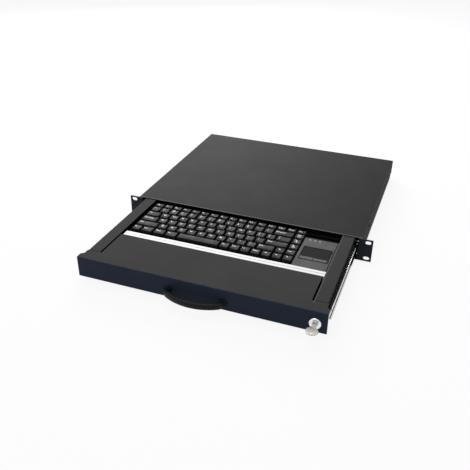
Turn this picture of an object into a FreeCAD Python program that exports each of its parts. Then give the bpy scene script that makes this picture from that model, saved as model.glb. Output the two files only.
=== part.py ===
"""Rack keyboard drawer, one rack unit high, built as separate pieces in millimetres.

X runs to the right seen from the front, Y to the rear and Z up. The origin is the middle of the
front plane of the rack ears. The drawer is drawn standing open by the size drawer_open.
"""
import FreeCAD, Part
import math
import os
from types import SimpleNamespace

import Sketcher

DRIVING_SIZES = {
    # rack mounting
    "rack_width": 482.6,
    "unit_height": 43.7,
    "ear_width": 19.7,
    "ear_drawer_gap": 0.6,
    "ear_sheet": 2.0,
    "slot_from_end": 8.75,
    "slot_pitch_up": 31.75,
    "slot_width": 7.0,
    "slot_length": 11.0,
    # fixed chassis
    "chassis_depth": 374.0,
    "chassis_sheet": 1.2,
    "bend_radius": 1.4,
    "cover_setback": 4.0,
    "cover_side_flange": 28.0,
    "cover_rear_flange": 14.0,
    "cover_fit": 0.1,
    "cover_screw_from_front": 60.0,
    "cover_screw_from_rear": 24.0,
    "rear_screw_inset": 71.6,
    "cable_hole": 20.0,
    "cable_hole_across": 120.0,
    "cable_hole_drop": 7.0,
    "grommet_wall": 2.5,
    "grommet_lip": 2.5,
    "grommet_lip_sheet": 1.5,
    # ball bearing slides
    "slide_width": 12.0,
    "slide_height": 27.0,
    "slide_sheet": 1.2,
    "slide_setback": 6.0,
    "slide_rear_gap": 18.0,
    "inner_member_depth": 6.2,
    "inner_member_setback": 24.6,
    "inner_member_rear_inset": 1.5,
    "slide_screw_inset": 30.0,
    "slide_screw_edge": 0.75,
    "slide_flange_gap": 1.0,
    "raceway_lip": 1.0,
    "ball_diameter": 2.8,
    "ball_play": 0.15,
    "ball_pitch": 28.0,
    "cage_sheet": 0.6,
    "cage_length": 90.0,
    "cage_web_gap": 0.3,
    # drawer
    "drawer_open": 229.6,
    "closed_proud": 2.0,
    "cage_closed_middle": 181.0,
    "lid_gap": 0.5,
    "tray_sheet": 1.2,
    "tray_rear_gap": 22.5,
    "tray_rear_wall": 24.0,
    "strip_width": 22.0,
    "strip_seam": 1.0,
    "panel_side_gap": 5.4,
    "panel_sheet": 1.5,
    "panel_floor_gap": 2.25,
    "top_flange": 26.0,
    "bottom_flange": 20.0,
    "bottom_flange_end_inset": 10.0,
    "corner_notch_width": 5.5,
    "corner_notch_start": 10.0,
    "panel_screw_pitch": 130.0,
    "panel_screw_inset": 5.0,
    "flange_clearance": 0.15,
    "palm_sheet": 1.2,
    "palm_wall_play": 0.2,
    "palm_side_gap": 3.4,
    "palm_depth": 94.3,
    "trim_left_inset": 3.0,
    "trim_width": 13.7,
    "trim_sheet": 2.0,
    "trim_leg": 16.0,
    "trim_leg_sheet": 1.5,
    "trim_groove_width": 0.9,
    "trim_groove_depth": 0.5,
    "trim_screw_across": 120.0,
    # bow handle
    "handle_span": 96.0,
    "handle_reach": 22.4,
    "handle_bow": 86.0,
    "handle_bend": 10.0,
    "handle_thick": 8.0,
    "handle_tall": 11.0,
    "handle_corner": 2.6,
    "handle_drop": 5.0,
    "handle_foot": 15.0,
    "handle_foot_sheet": 3.0,
    # cam lock
    "lock_from_tray_side": 11.4,
    "lock_up": 2.0,
    "lock_head": 19.0,
    "lock_head_length": 7.0,
    "barrel_diameter": 14.0,
    "barrel_length": 22.0,
    "plug_diameter": 10.0,
    "lock_play": 0.1,
    "plug_recess": 0.3,
    "nut_wall": 1.5,
    "nut_height": 4.0,
    "cam_sheet": 2.0,
    "cam_width": 10.0,
    "cam_gap": 0.4,
    "cam_bite": 0.95,
    "cam_square": 6.0,
    "cam_tail": 7.0,
    "cam_corner": 2.0,
    "cam_slot_play": 1.0,
    "cam_screw_grip": 4.0,
    "key_sheet": 2.0,
    "key_blade_width": 7.6,
    "key_depth": 17.0,
    "key_neck": 10.0,
    "key_bow": 19.0,
    "key_bow_hole": 5.0,
    # keyboard housing
    "keyboard_side_gap": 0.8,
    "keyboard_gap": 0.6,
    "bracket_top": 30.0,
    "bracket_foot": 10.0,
    "bracket_height": 11.7,
    "bracket_across": 120.0,
    "bracket_length": 128.0,
    "bracket_inset": 6.0,
    "bracket_screw_inset": 20.0,
    "base_height": 8.5,
    "base_wall": 2.0,
    "deck_sheet": 3.0,
    "bezel_height": 4.0,
    "bezel_left": 4.5,
    "bezel_front": 11.25,
    "bezel_rear": 25.0,
    "bezel_play": 0.5,
    "layer_margin": 1.0,
    "membrane_sheet": 0.5,
    "dome_sheet": 0.8,
    "board_sheet": 1.6,
    "board_length": 120.0,
    "board_width": 16.0,
    "board_gap": 2.0,
    # key caps
    "key_unit": 19.05,
    "function_row_pitch": 15.2,
    "key_gap": 1.0,
    "cap_height": 7.9,
    "cap_over_deck": 2.8,
    "cap_wall": 1.2,
    "cap_roof": 1.4,
    "cap_taper_side": 1.9,
    "cap_taper_front": 2.6,
    "cap_taper_rear": 1.2,
    "dish_depth": 0.5,
    "dish_margin": 1.0,
    "stem_width": 5.5,
    "stem_play": 0.25,
    "stem_end_over_floor": 4.2,
    "stem_root": 0.2,
    # touchpad
    "pad_gap": 1.2,
    "pad_housing_depth": 100.5,
    "pad_housing_height": 9.5,
    "pad_wall": 2.0,
    "pad_surface_width": 48.0,
    "pad_surface_depth": 31.0,
    "pad_surface_from_front": 39.4,
    "pad_surface_sheet": 0.8,
    "pad_surface_recess": 1.0,
    "pad_play": 0.6,
    "pad_button_depth": 6.7,
    "pad_button_from_front": 30.6,
    "pad_button_split": 1.0,
    "pad_button_proud": 0.3,
    "pad_button_lip": 1.0,
    "pad_button_lip_sheet": 1.0,
    "pad_button_lip_gap": 0.2,
    "pad_board_side_gap": 2.3,
    "pad_groove_width": 0.9,
    "pad_groove_depth": 0.6,
    "pad_groove_gap": 1.4,
    "pad_groove_over": 8.0,
    "pad_board_depth": 66.0,
    "pad_board_inset": 4.0,
    "switch_width": 6.0,
    "switch_height": 3.4,
    "lens_diameter": 3.0,
    "lens_pitch": 9.0,
    "lens_from_rear": 6.0,
    # small screws
    "screw_diameter": 3.0,
    "screw_head": 5.5,
    "screw_head_height": 1.5,
    "screw_play": 0.15,
    "screw_tip": 2.0,
    "handle_screw_diameter": 4.0,
    "handle_screw_head": 7.5,
    "handle_screw_grip": 6.0,
}

KEY_ROWS = {
    "keys_function_row": [1] * 16,
    "keys_number_row": [1] * 13 + [2, 1],
    "keys_upper_row": [1.5] + [1] * 12 + [1.5, 1],
    "keys_home_row": [1.75] + [1] * 11 + [2.25, 1],
    "keys_lower_row": [2.25] + [1] * 10 + [1.75, 1, 1],
    "keys_bottom_row": [1] + [1.25] * 3 + [4.25] + [1] * 7,
}
KEYS_ON_THEIR_OWN = {
    ("keys_number_row", 13): "backspace_key",
    ("keys_upper_row", 0): "tab_key",
    ("keys_home_row", 0): "caps_lock_key",
    ("keys_home_row", 12): "enter_key",
    ("keys_lower_row", 0): "left_shift_key",
    ("keys_lower_row", 11): "right_shift_key",
    ("keys_bottom_row", 4): "space_bar",
}
ROW_UNITS = 16
WIDEST_DISHED_KEY = 3
BALL_STEPS = (-1, 0, 1)
LENSES = 3

# small round pieces and their holes have flat sides, which keeps the model light
SMALL_SIDES = 6
BALL_SIDES = 8
NUT_SIDES = 6
# degrees that the cam turns before its tip is clear of each floor that it drops through
TURN_CLEAR_OF_CHASSIS = 20
TURN_CLEAR_OF_TRAY = 45
# how far a cut runs past the faces that it opens
OVER = 1.0

DOCUMENT = FreeCAD.newDocument("RackKeyboardDrawer")
SHEET = DOCUMENT.addObject("Spreadsheet::Sheet", "Sizes")
NODES = {}
CUTS = []


class Size:
    """A length that carries its number and the sheet formula that gives it."""

    def __init__(self, number, formula):
        self.number = float(number)
        self.formula = formula

    def joined(self, other, sign, number):
        return Size(number, f"({self.formula} {sign} {sized(other).formula})")

    def __add__(self, other):
        return self.joined(other, "+", self.number + sized(other).number)

    def __radd__(self, other):
        return sized(other) + self

    def __sub__(self, other):
        return self.joined(other, "-", self.number - sized(other).number)

    def __rsub__(self, other):
        return sized(other) - self

    def __mul__(self, other):
        return self.joined(other, "*", self.number * sized(other).number)

    def __rmul__(self, other):
        return sized(other) * self

    def __truediv__(self, other):
        return self.joined(other, "/", self.number / sized(other).number)

    def __neg__(self):
        return sized(0) - self

    def root(self):
        """The square root."""
        return Size(math.sqrt(self.number), f"sqrt({self.formula})")


def sized(value):
    """A plain number as a Size, and a Size as it is."""
    if isinstance(value, Size):
        return value
    return Size(value, f"({float(value)!r})")


def fill_sheet():
    """Write the driving sizes to the sheet, each with its alias, and return them by name."""
    sizes = {}
    for row, (name, number) in enumerate(DRIVING_SIZES.items(), start=1):
        SHEET.set(f"A{row}", name)
        SHEET.set(f"B{row}", str(number))
        SHEET.setAlias(f"B{row}", name)
        sizes[name] = Size(number, f"Sizes.{name}")
    DOCUMENT.recompute()
    return SimpleNamespace(**sizes)


S = fill_sheet()

# heights that the whole object shares
chassis_bottom = -S.unit_height / 2
chassis_floor = chassis_bottom + S.chassis_sheet
chassis_top = S.unit_height / 2
cover_underside = chassis_top - S.chassis_sheet
drawer_top = cover_underside - S.lid_gap
panel_bottom = chassis_floor + S.panel_floor_gap
tray_bottom = panel_bottom + S.panel_sheet
tray_floor = tray_bottom + S.tray_sheet

# half widths from the outside in
rack_half = S.rack_width / 2
wall_outside = rack_half - S.ear_width
wall_inside = wall_outside - S.chassis_sheet
cover_inside = wall_outside + S.cover_fit
cover_outside = cover_inside + S.chassis_sheet
tray_outside = wall_inside - S.slide_width
tray_inside = tray_outside - S.tray_sheet
strip_inside = tray_outside - S.strip_width
panel_half = wall_inside - S.panel_side_gap
ear_inside = panel_half + S.ear_drawer_gap
palm_half = strip_inside - S.palm_side_gap
keyboard_half = strip_inside - S.keyboard_side_gap

# places along the drawer, which is drawn open
panel_face = -(S.closed_proud + S.drawer_open)
panel_back = panel_face + S.panel_sheet
palm_wall_back = panel_back + S.palm_sheet
tray_rear = S.chassis_depth - S.tray_rear_gap - S.drawer_open
palm_rear = panel_face + S.palm_depth
trim_rear = palm_rear + S.trim_width
keyboard_front = trim_rear + S.keyboard_gap
key_field_front = keyboard_front + S.bezel_front
function_row_front = key_field_front + S.key_unit * (len(KEY_ROWS) - 1)
key_field_rear = function_row_front + S.function_row_pitch
keyboard_rear = key_field_rear + S.bezel_rear

# the keyboard's own heights and widths
keyboard_bottom = tray_floor + S.bracket_height
base_floor = keyboard_bottom + S.base_wall
deck_bottom = keyboard_bottom + S.base_height
deck_top = deck_bottom + S.deck_sheet
bezel_top = deck_top + S.bezel_height
cap_bottom = deck_top + S.cap_over_deck
cap_top = cap_bottom + S.cap_height
key_field_left = -keyboard_half + S.bezel_left
key_field_right = key_field_left + S.key_unit * ROW_UNITS
pad_left = key_field_right + S.pad_gap
pad_top = deck_top + S.pad_housing_height
pad_middle = (pad_left + keyboard_half) / 2
button_front = keyboard_front + S.pad_button_from_front
button_rear = button_front + S.pad_button_depth

# slide sections, measured inward from the chassis wall
ball_room = S.ball_diameter + S.ball_play * 2
outer_race = S.slide_height / 2 - S.slide_sheet
inner_race = outer_race - ball_room
ball_height = inner_race + ball_room / 2
outer_flange_end = S.slide_width - S.slide_flange_gap
inner_flange_end = S.slide_width - S.inner_member_depth
ball_across = (outer_flange_end + inner_flange_end) / 2
slide_screw_drop = S.slide_height / 2 - S.screw_head / 2 - S.slide_screw_edge

PLANES = {"x": ("YZ_Plane", 1), "y": ("XZ_Plane", -1), "z": ("XY_Plane", 1)}
TURNS = {
    "x": FreeCAD.Rotation(FreeCAD.Vector(0, 1, 0), 90),
    "y": FreeCAD.Rotation(FreeCAD.Vector(1, 0, 0), -90),
    "z": FreeCAD.Rotation(),
}
AXIS_NUMBER = {"x": 0, "y": 1, "z": 2}
TOUCH = 0.001


def point(place):
    """A sketch point at a pair of sizes."""
    return FreeCAD.Vector(sized(place[0]).number, sized(place[1]).number, 0)


def hold(sketch, geometry, end, place):
    """Tie one end of a sketch line or centre to a pair of sizes."""
    for kind, value in zip(("DistanceX", "DistanceY"), place):
        value = sized(value)
        index = sketch.addConstraint(Sketcher.Constraint(kind, -1, 1, geometry, end, value.number))
        sketch.setExpression(f"Constraints[{index}]", value.formula)


def hold_radius(sketch, geometry, radius):
    """Tie the radius of a sketch circle or arc to a size."""
    radius = sized(radius)
    index = sketch.addConstraint(Sketcher.Constraint("Radius", geometry, radius.number))
    sketch.setExpression(f"Constraints[{index}]", radius.formula)


def polygon(*corners):
    """A closed outline of straight lines."""
    def draw(sketch):
        ends = corners[1:] + corners[:1]
        lines = [Part.LineSegment(point(a), point(b)) for a, b in zip(corners, ends)]
        numbers = sketch.addGeometry(lines, False)
        for number, following in zip(numbers, numbers[1:] + numbers[:1]):
            sketch.addConstraint(Sketcher.Constraint("Coincident", number, 2, following, 1))
        for number, corner in zip(numbers, corners):
            hold(sketch, number, 1, corner)
    return draw


def rectangle(left, right, low, high):
    """A closed rectangle between two pairs of sizes."""
    return polygon((left, low), (right, low), (right, high), (left, high))


def chamfered(left, right, low, high, cut):
    """A rectangle with its four corners cut off."""
    return polygon((left, low + cut), (left + cut, low), (right - cut, low), (right, low + cut),
                   (right, high - cut), (right - cut, high), (left + cut, high), (left, high - cut))


def circle(centre, radius):
    """A full circle."""
    def draw(sketch):
        ring = Part.Circle(point(centre), FreeCAD.Vector(0, 0, 1), sized(radius).number)
        number = sketch.addGeometry(ring, False)
        hold(sketch, number, 3, centre)
        hold_radius(sketch, number, radius)
    return draw


def regular(centre, inner_radius, sides):
    """A regular outline whose flat sides lie at a radius from its centre, one of them to the right."""
    step = 2 * math.pi / sides
    reach = inner_radius / math.cos(step / 2)
    turns = [step * (number + 0.5) for number in range(sides)]
    x, y = centre
    return polygon(*[(x + reach * math.cos(turn), y + reach * math.sin(turn)) for turn in turns])


def small_hole(centre, radius):
    """A small round hole, drawn with flat sides."""
    return regular(centre, sized(radius), SMALL_SIDES)


def level_slot(centre, length, width):
    """A slot with round ends that runs along the sketch's first axis."""
    def draw(sketch):
        radius = width / 2
        reach = length / 2 - radius
        places = ((centre[0] - reach, centre[1]), (centre[0] + reach, centre[1]))
        turns = ((math.pi / 2, math.pi * 3 / 2), (-math.pi / 2, math.pi / 2))
        normal = FreeCAD.Vector(0, 0, 1)
        arcs = []
        for place, turn in zip(places, turns):
            ring = Part.Circle(point(place), normal, radius.number)
            arcs.append(sketch.addGeometry(Part.ArcOfCircle(ring, *turn), False))
        low, high = centre[1] - radius, centre[1] + radius
        bottom = Part.LineSegment(point((places[0][0], low)), point((places[1][0], low)))
        top = Part.LineSegment(point((places[1][0], high)), point((places[0][0], high)))
        lines = sketch.addGeometry([bottom, top], False)
        joints = ((arcs[0], lines[0]), (lines[0], arcs[1]), (arcs[1], lines[1]), (lines[1], arcs[0]))
        for before, after in joints:
            sketch.addConstraint(Sketcher.Constraint("Tangent", before, 2, after, 1))
        sketch.addConstraint(Sketcher.Constraint("Equal", arcs[0], arcs[1]))
        for arc, place in zip(arcs, places):
            hold(sketch, arc, 3, place)
        hold_radius(sketch, arcs[0], radius)
    return draw


def new_body(name, node=True):
    """A body of its own, listed as a piece of the object unless it is only a pattern for copies."""
    body = DOCUMENT.addObject("PartDesign::Body", name)
    body.Label = name
    if node:
        NODES[name] = body
    return body


def sketch_on(body, axis, level, outlines):
    """A sketch across an axis, at a level along it, holding the given outlines."""
    role, side = PLANES[axis]
    plane = next(feature for feature in body.Origin.OriginFeatures if feature.Role == role)
    sketch = body.newObject("Sketcher::SketchObject", f"{body.Name}_sketch")
    sketch.AttachmentSupport = [(plane, "")]
    sketch.MapMode = "FlatFace"
    sketch.setExpression("AttachmentOffset.Base.z", (sized(level) * side).formula)
    for draw in outlines:
        draw(sketch)
    return sketch


def pad(body, axis, start, end, *outlines):
    """Add material between two levels along an axis."""
    level = start if PLANES[axis][1] > 0 else end
    sketch = sketch_on(body, axis, level, outlines)
    feature = body.newObject("PartDesign::Pad", f"{body.Name}_pad")
    feature.Profile = sketch
    feature.setExpression("Length", (sized(end) - start).formula)
    return feature


def pocket(body, axis, start, end, *outlines):
    """Take material away between two levels along an axis."""
    level = end if PLANES[axis][1] > 0 else start
    sketch = sketch_on(body, axis, level, outlines)
    feature = body.newObject("PartDesign::Pocket", f"{body.Name}_pocket")
    feature.Profile = sketch
    feature.setExpression("Length", (sized(end) - start).formula)
    CUTS.append(feature)
    return feature


def round_bends(body, axis, places, radius):
    """Round the edges that run along an axis through the given places."""
    DOCUMENT.recompute()
    base = body.Tip
    across = [number for name, number in AXIS_NUMBER.items() if name != axis]
    chosen = []
    for index, edge in enumerate(base.Shape.Edges, start=1):
        first, last = (vertex.Point for vertex in (edge.Vertexes[0], edge.Vertexes[-1]))
        for place in places:
            goals = list(zip(across, (sized(size).number for size in place)))
            misses = [abs(end[n] - goal) for end in (first, last) for n, goal in goals]
            if max(misses) < TOUCH and (last - first).Length > TOUCH:
                chosen.append(f"Edge{index}")
    feature = body.newObject("PartDesign::Fillet", f"{body.Name}_bends")
    feature.Base = (base, chosen)
    feature.setExpression("Radius", sized(radius).formula)
    return feature


def put(piece, x, y, z):
    """Place a primitive at three sizes."""
    for name, value in zip("xyz", (x, y, z)):
        piece.setExpression(f"Placement.Base.{name}", sized(value).formula)


def box(name, x, y, z):
    """A block between pairs of sizes on each axis."""
    block = DOCUMENT.addObject("Part::Box", name)
    for side, (low, high) in zip(("Length", "Width", "Height"), (x, y, z)):
        block.setExpression(side, (sized(high) - low).formula)
    put(block, x[0], y[0], z[0])
    return block


def small_rod(name, axis, foot, length, radius, sides=SMALL_SIDES):
    """A small round rod with flat sides, from a foot point along an axis."""
    prism = DOCUMENT.addObject("Part::Prism", name)
    prism.Polygon = sides
    prism.setExpression("Circumradius", sized(radius).formula)
    prism.setExpression("Height", sized(length).formula)
    prism.Placement = FreeCAD.Placement(FreeCAD.Vector(), TURNS[axis])
    put(prism, *foot)
    return prism


def ball_pattern():
    """A ball with flat facets: what three small rods through one middle have in common."""
    radius = S.ball_diameter / 2
    rods = []
    for axis in AXIS_NUMBER:
        foot = moved((sized(0), sized(0), sized(0)), axis, -radius)
        rods.append(small_rod(f"ball_rod_{axis}", axis, foot, S.ball_diameter, radius, BALL_SIDES))
    ball = DOCUMENT.addObject("Part::MultiCommon", "ball_pattern")
    ball.Shapes = rods
    return ball


def copy_of(pattern, name, x, y, z):
    """A copy of a pattern shape at three sizes."""
    copy = DOCUMENT.addObject("App::Link", name)
    copy.LinkedObject = pattern
    put(copy, x, y, z)
    return copy


def moved(place, axis, distance):
    """A place shifted along one axis."""
    shifted = list(place)
    shifted[AXIS_NUMBER[axis]] = sized(place[AXIS_NUMBER[axis]]) + distance
    return shifted


def screw(name, axis, way, seat, grip, diameter=S.screw_diameter, head=S.screw_head):
    """A pan head screw whose head sits on a seat and whose shank runs the given way along an axis."""
    head_foot = moved(seat, axis, -S.screw_head_height) if way > 0 else seat
    shank_foot = seat if way > 0 else moved(seat, axis, -grip)
    parts = [
        small_rod(f"{name}_head", axis, head_foot, S.screw_head_height, head / 2),
        small_rod(f"{name}_shank", axis, shank_foot, grip, diameter / 2),
    ]
    whole = DOCUMENT.addObject("Part::MultiFuse", name)
    whole.Shapes = parts
    return whole


def group(name, pieces):
    """Separate solids of one kind that share a node."""
    compound = DOCUMENT.addObject("Part::Compound", name)
    compound.Label = name
    compound.Links = pieces
    NODES[name] = compound
    return compound


screw_hole = S.screw_diameter / 2 + S.screw_play
handle_screw_hole = S.handle_screw_diameter / 2 + S.screw_play
cover_screw_height = (cover_underside + S.slide_height / 2) / 2
cover_screw_places = [S.cover_setback + S.cover_screw_from_front, S.chassis_depth - S.cover_screw_from_rear]
rear_screw_height = cover_underside - S.cover_rear_flange / 2
rear_screw_places = [(wall_outside - S.rear_screw_inset) * side for side in (-1, 1)]
slide_front = S.slide_setback
slide_rear = S.chassis_depth - S.slide_rear_gap
slide_screw_places = [slide_front + S.slide_screw_inset, slide_rear - S.slide_screw_inset]
inner_slide_front = S.inner_member_setback - S.drawer_open
inner_slide_rear = tray_rear - S.inner_member_rear_inset
inner_screw_places = [inner_slide_front + S.slide_screw_inset, inner_slide_rear - S.slide_screw_inset]
panel_screw_line = panel_face + S.bottom_flange - S.panel_screw_inset
panel_screw_places = [(S.panel_screw_pitch * step, panel_screw_line) for step in (-1, 0, 1)]
handle_screw_places = [(S.handle_span / 2 * side, -S.handle_drop) for side in (-1, 1)]
bracket_screw_places = [key_field_front + S.bracket_screw_inset, key_field_rear - S.bracket_screw_inset]
trim_screw_height = drawer_top - S.trim_leg / 2
trim_screw_places = [(S.trim_screw_across * side, trim_screw_height) for side in (-1, 1)]
cable_place = (S.cable_hole_across, -S.cable_hole_drop)

# the lock's parts in a row behind the panel
lock_across = tray_outside - S.lock_from_tray_side
lock_axis = (lock_across, S.lock_up)
lock_front = panel_face - S.lock_head_length
barrel_end = panel_face + S.barrel_length
cam_front = barrel_end + S.cam_gap
cam_rear = cam_front + S.cam_sheet
cam_reach = S.lock_up - chassis_floor + S.cam_bite
plug_bore = S.plug_diameter / 2 + S.lock_play
barrel_hole = S.barrel_diameter / 2 + S.lock_play


def cam_slot(swing_degrees, shift):
    """The slot that the cam drops through, as wide as its tip swings before it is clear of the sheet."""
    swing = cam_reach * math.sin(math.radians(swing_degrees)) + S.cam_width / 2
    return rectangle(
        lock_across - swing - S.cam_slot_play, lock_across + S.cam_width / 2 + S.cam_slot_play,
        cam_front + shift - S.cam_slot_play, cam_rear + shift + S.cam_slot_play)


def build_chassis_base():
    """The folded pan with its side walls, the rear wall and the slotted rack ears."""
    body = new_body("chassis_base")
    low, high = chassis_bottom, cover_underside
    pad(body, "y", sized(0), S.chassis_depth, polygon(
        (-wall_outside, high), (-wall_outside, low), (wall_outside, low), (wall_outside, high),
        (wall_inside, high), (wall_inside, chassis_floor),
        (-wall_inside, chassis_floor), (-wall_inside, high)))
    in_wall = S.chassis_sheet / 2
    pad(body, "y", S.chassis_depth - S.chassis_sheet, S.chassis_depth,
        rectangle(-wall_outside + in_wall, wall_outside - in_wall, low, high))
    pad(body, "y", sized(0), S.ear_sheet,
        rectangle(ear_inside, rack_half, chassis_bottom, chassis_top),
        rectangle(-rack_half, -ear_inside, chassis_bottom, chassis_top))
    across, up = rack_half - S.slot_from_end, S.slot_pitch_up / 2
    slots = [level_slot((across * side, up * level), S.slot_length, S.slot_width)
             for side in (-1, 1) for level in (-1, 1)]
    pocket(body, "y", sized(-OVER), S.ear_sheet + OVER, *slots)
    pocket(body, "x", -wall_outside - OVER, wall_outside + OVER,
           *[small_hole((y, cover_screw_height), screw_hole) for y in cover_screw_places],
           *[small_hole((y, -slide_screw_drop), screw_hole) for y in slide_screw_places])
    pocket(body, "y", S.chassis_depth - S.chassis_sheet - OVER, S.chassis_depth + OVER,
           circle(cable_place, S.cable_hole / 2),
           *[small_hole((x, rear_screw_height), screw_hole) for x in rear_screw_places])
    pocket(body, "z", chassis_bottom - OVER, chassis_floor + OVER,
           cam_slot(TURN_CLEAR_OF_CHASSIS, S.drawer_open))
    round_bends(body, "y", [(-wall_outside, low), (wall_outside, low)], S.bend_radius)


def build_chassis_cover():
    """The lid, folded down over both side walls and the rear wall."""
    body = new_body("chassis_cover")
    low = chassis_top - S.cover_side_flange
    rear = S.chassis_depth + S.cover_fit
    pad(body, "y", S.cover_setback, rear, polygon(
        (-cover_outside, low), (-cover_inside, low), (-cover_inside, cover_underside),
        (cover_inside, cover_underside), (cover_inside, low), (cover_outside, low),
        (cover_outside, chassis_top), (-cover_outside, chassis_top)))
    pad(body, "y", rear, rear + S.chassis_sheet, rectangle(
        -cover_outside, cover_outside, cover_underside - S.cover_rear_flange, chassis_top))
    pocket(body, "x", -cover_outside - OVER, cover_outside + OVER,
           *[small_hole((y, cover_screw_height), screw_hole) for y in cover_screw_places])
    pocket(body, "y", rear - OVER, rear + S.chassis_sheet + OVER,
           *[small_hole((x, rear_screw_height), screw_hole) for x in rear_screw_places])
    round_bends(body, "y", [(-cover_outside, chassis_top), (cover_outside, chassis_top)], S.bend_radius)


def build_chassis_fasteners():
    """The screws of the cover and of the fixed slide members, and the rubber cable grommet."""
    grip = S.chassis_sheet * 2 + S.cover_fit + S.screw_tip
    cover, fixed = [], []
    for side in (-1, 1):
        for number, y in enumerate(cover_screw_places):
            seat = (cover_outside * side, y, cover_screw_height)
            cover.append(screw(f"cover_screw_{side + 1}_{number}", "x", -side, seat, grip))
        for number, y in enumerate(slide_screw_places):
            seat = (wall_outside * side, y, -slide_screw_drop)
            fixed.append(screw(f"slide_screw_{side + 1}_{number}", "x", -side, seat,
                               S.chassis_sheet + S.slide_sheet))
    rear = S.chassis_depth + S.cover_fit + S.chassis_sheet
    for number, x in enumerate(rear_screw_places):
        cover.append(screw(f"cover_screw_rear_{number}", "y", -1, (x, rear, rear_screw_height), grip))
    group("cover_screws", cover)
    group("slide_outer_screws", fixed)
    grommet = new_body("cable_grommet")
    bore = circle(cable_place, S.cable_hole / 2 - S.grommet_wall)
    lip = circle(cable_place, S.cable_hole / 2 + S.grommet_lip)
    inside = S.chassis_depth - S.chassis_sheet
    pad(grommet, "y", inside - S.grommet_lip_sheet, inside, lip, bore)
    pad(grommet, "y", inside, S.chassis_depth, circle(cable_place, S.cable_hole / 2 - S.lock_play), bore)
    pad(grommet, "y", S.chassis_depth, S.chassis_depth + S.grommet_lip_sheet, lip, bore)


def slide_section(side, upper_points):
    """A section from points inward of the chassis wall, with the same points mirrored below the middle."""
    lower_points = [(inward, -up) for inward, up in reversed(upper_points)]
    return polygon(*[((wall_inside - inward) * side, up) for inward, up in upper_points + lower_points])


def build_slide(side, name, ball):
    """One ball bearing slide: the fixed member, the ball cage and the member on the drawer."""
    sheet, lip = S.slide_sheet, S.raceway_lip
    outer = new_body(f"slide_outer_{name}")
    half = S.slide_height / 2
    lip_start = outer_flange_end - lip
    pad(outer, "y", slide_front, slide_rear, slide_section(side, [
        (sized(0), half), (outer_flange_end, half), (outer_flange_end, outer_race - lip),
        (lip_start, outer_race - lip), (lip_start, outer_race), (sheet, outer_race)][::-1]))
    pocket(outer, "x", wall_inside * side - sheet - OVER, wall_inside * side + sheet + OVER,
           *[small_hole((y, -slide_screw_drop), screw_hole) for y in slide_screw_places])
    inner = new_body(f"slide_inner_{name}")
    back = S.slide_width
    lip_end = inner_flange_end + lip
    pad(inner, "y", inner_slide_front, inner_slide_rear, slide_section(side, [
        (back, inner_race), (lip_end, inner_race), (lip_end, inner_race + lip),
        (inner_flange_end, inner_race + lip), (inner_flange_end, inner_race - sheet),
        (back - sheet, inner_race - sheet)]))
    pocket(inner, "x", tray_outside * side - sheet - OVER, tray_outside * side + sheet + OVER,
           *[small_hole((y, sized(0)), screw_hole) for y in inner_screw_places])
    cage = new_body(f"ball_cage_{name}")
    middle = S.cage_closed_middle - S.drawer_open / 2
    web = sheet + S.cage_web_gap
    over, under = ball_height + S.cage_sheet / 2, ball_height - S.cage_sheet / 2
    pad(cage, "y", middle - S.cage_length / 2, middle + S.cage_length / 2, slide_section(side, [
        (web, over), (outer_flange_end, over), (outer_flange_end, under),
        (web + S.cage_sheet, under)][::-1]))
    across = (wall_inside - ball_across) * side
    places = [middle + S.ball_pitch * step for step in BALL_STEPS]
    pocket(cage, "z", -over - OVER, over + OVER,
           *[small_hole((across, y), S.ball_diameter / 2 + S.lock_play) for y in places])
    return [copy_of(ball, f"ball_{name}_{number}_{level + 1}", across, y, ball_height * level)
            for number, y in enumerate(places) for level in (-1, 1)]


def build_slides():
    """Both slides, with all their balls in one node, and the screws of the drawer members."""
    ball = ball_pattern()
    group("slide_balls", build_slide(-1, "left", ball) + build_slide(1, "right", ball))
    screws = []
    for side in (-1, 1):
        for number, y in enumerate(inner_screw_places):
            seat = (tray_inside * side, y, sized(0))
            screws.append(screw(f"inner_screw_{side + 1}_{number}", "x", side, seat,
                                S.tray_sheet + S.slide_sheet))
    group("slide_inner_screws", screws)


def build_drawer_tray():
    """The folded drawer pan, whose side walls turn inward at the top as flat strips."""
    body = new_body("drawer_tray")
    under_strip = drawer_top - S.tray_sheet
    pad(body, "y", panel_back, tray_rear, polygon(
        (-strip_inside, drawer_top), (-tray_outside, drawer_top), (-tray_outside, tray_bottom),
        (tray_outside, tray_bottom), (tray_outside, drawer_top), (strip_inside, drawer_top),
        (strip_inside, under_strip), (tray_inside, under_strip), (tray_inside, tray_floor),
        (-tray_inside, tray_floor), (-tray_inside, under_strip), (-strip_inside, under_strip)))
    in_wall = S.tray_sheet / 2
    pad(body, "y", tray_rear - S.tray_sheet, tray_rear, rectangle(
        -tray_outside + in_wall, tray_outside - in_wall, tray_bottom, tray_bottom + S.tray_rear_wall))
    pocket(body, "z", drawer_top - S.palm_sheet - S.flange_clearance, drawer_top + OVER, rectangle(
        -tray_outside - OVER, tray_outside + OVER, panel_face, panel_face + S.top_flange + S.strip_seam))
    pocket(body, "z", tray_bottom - OVER, tray_floor + OVER, cam_slot(TURN_CLEAR_OF_TRAY, sized(0)),
           *[small_hole(place, screw_hole) for place in panel_screw_places])
    pocket(body, "x", -tray_outside - OVER, tray_outside + OVER,
           *[small_hole((y, sized(0)), screw_hole) for y in inner_screw_places])
    round_bends(body, "y", [(tray_outside * side, level) for side in (-1, 1)
                            for level in (tray_bottom, drawer_top)], S.bend_radius)


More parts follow.
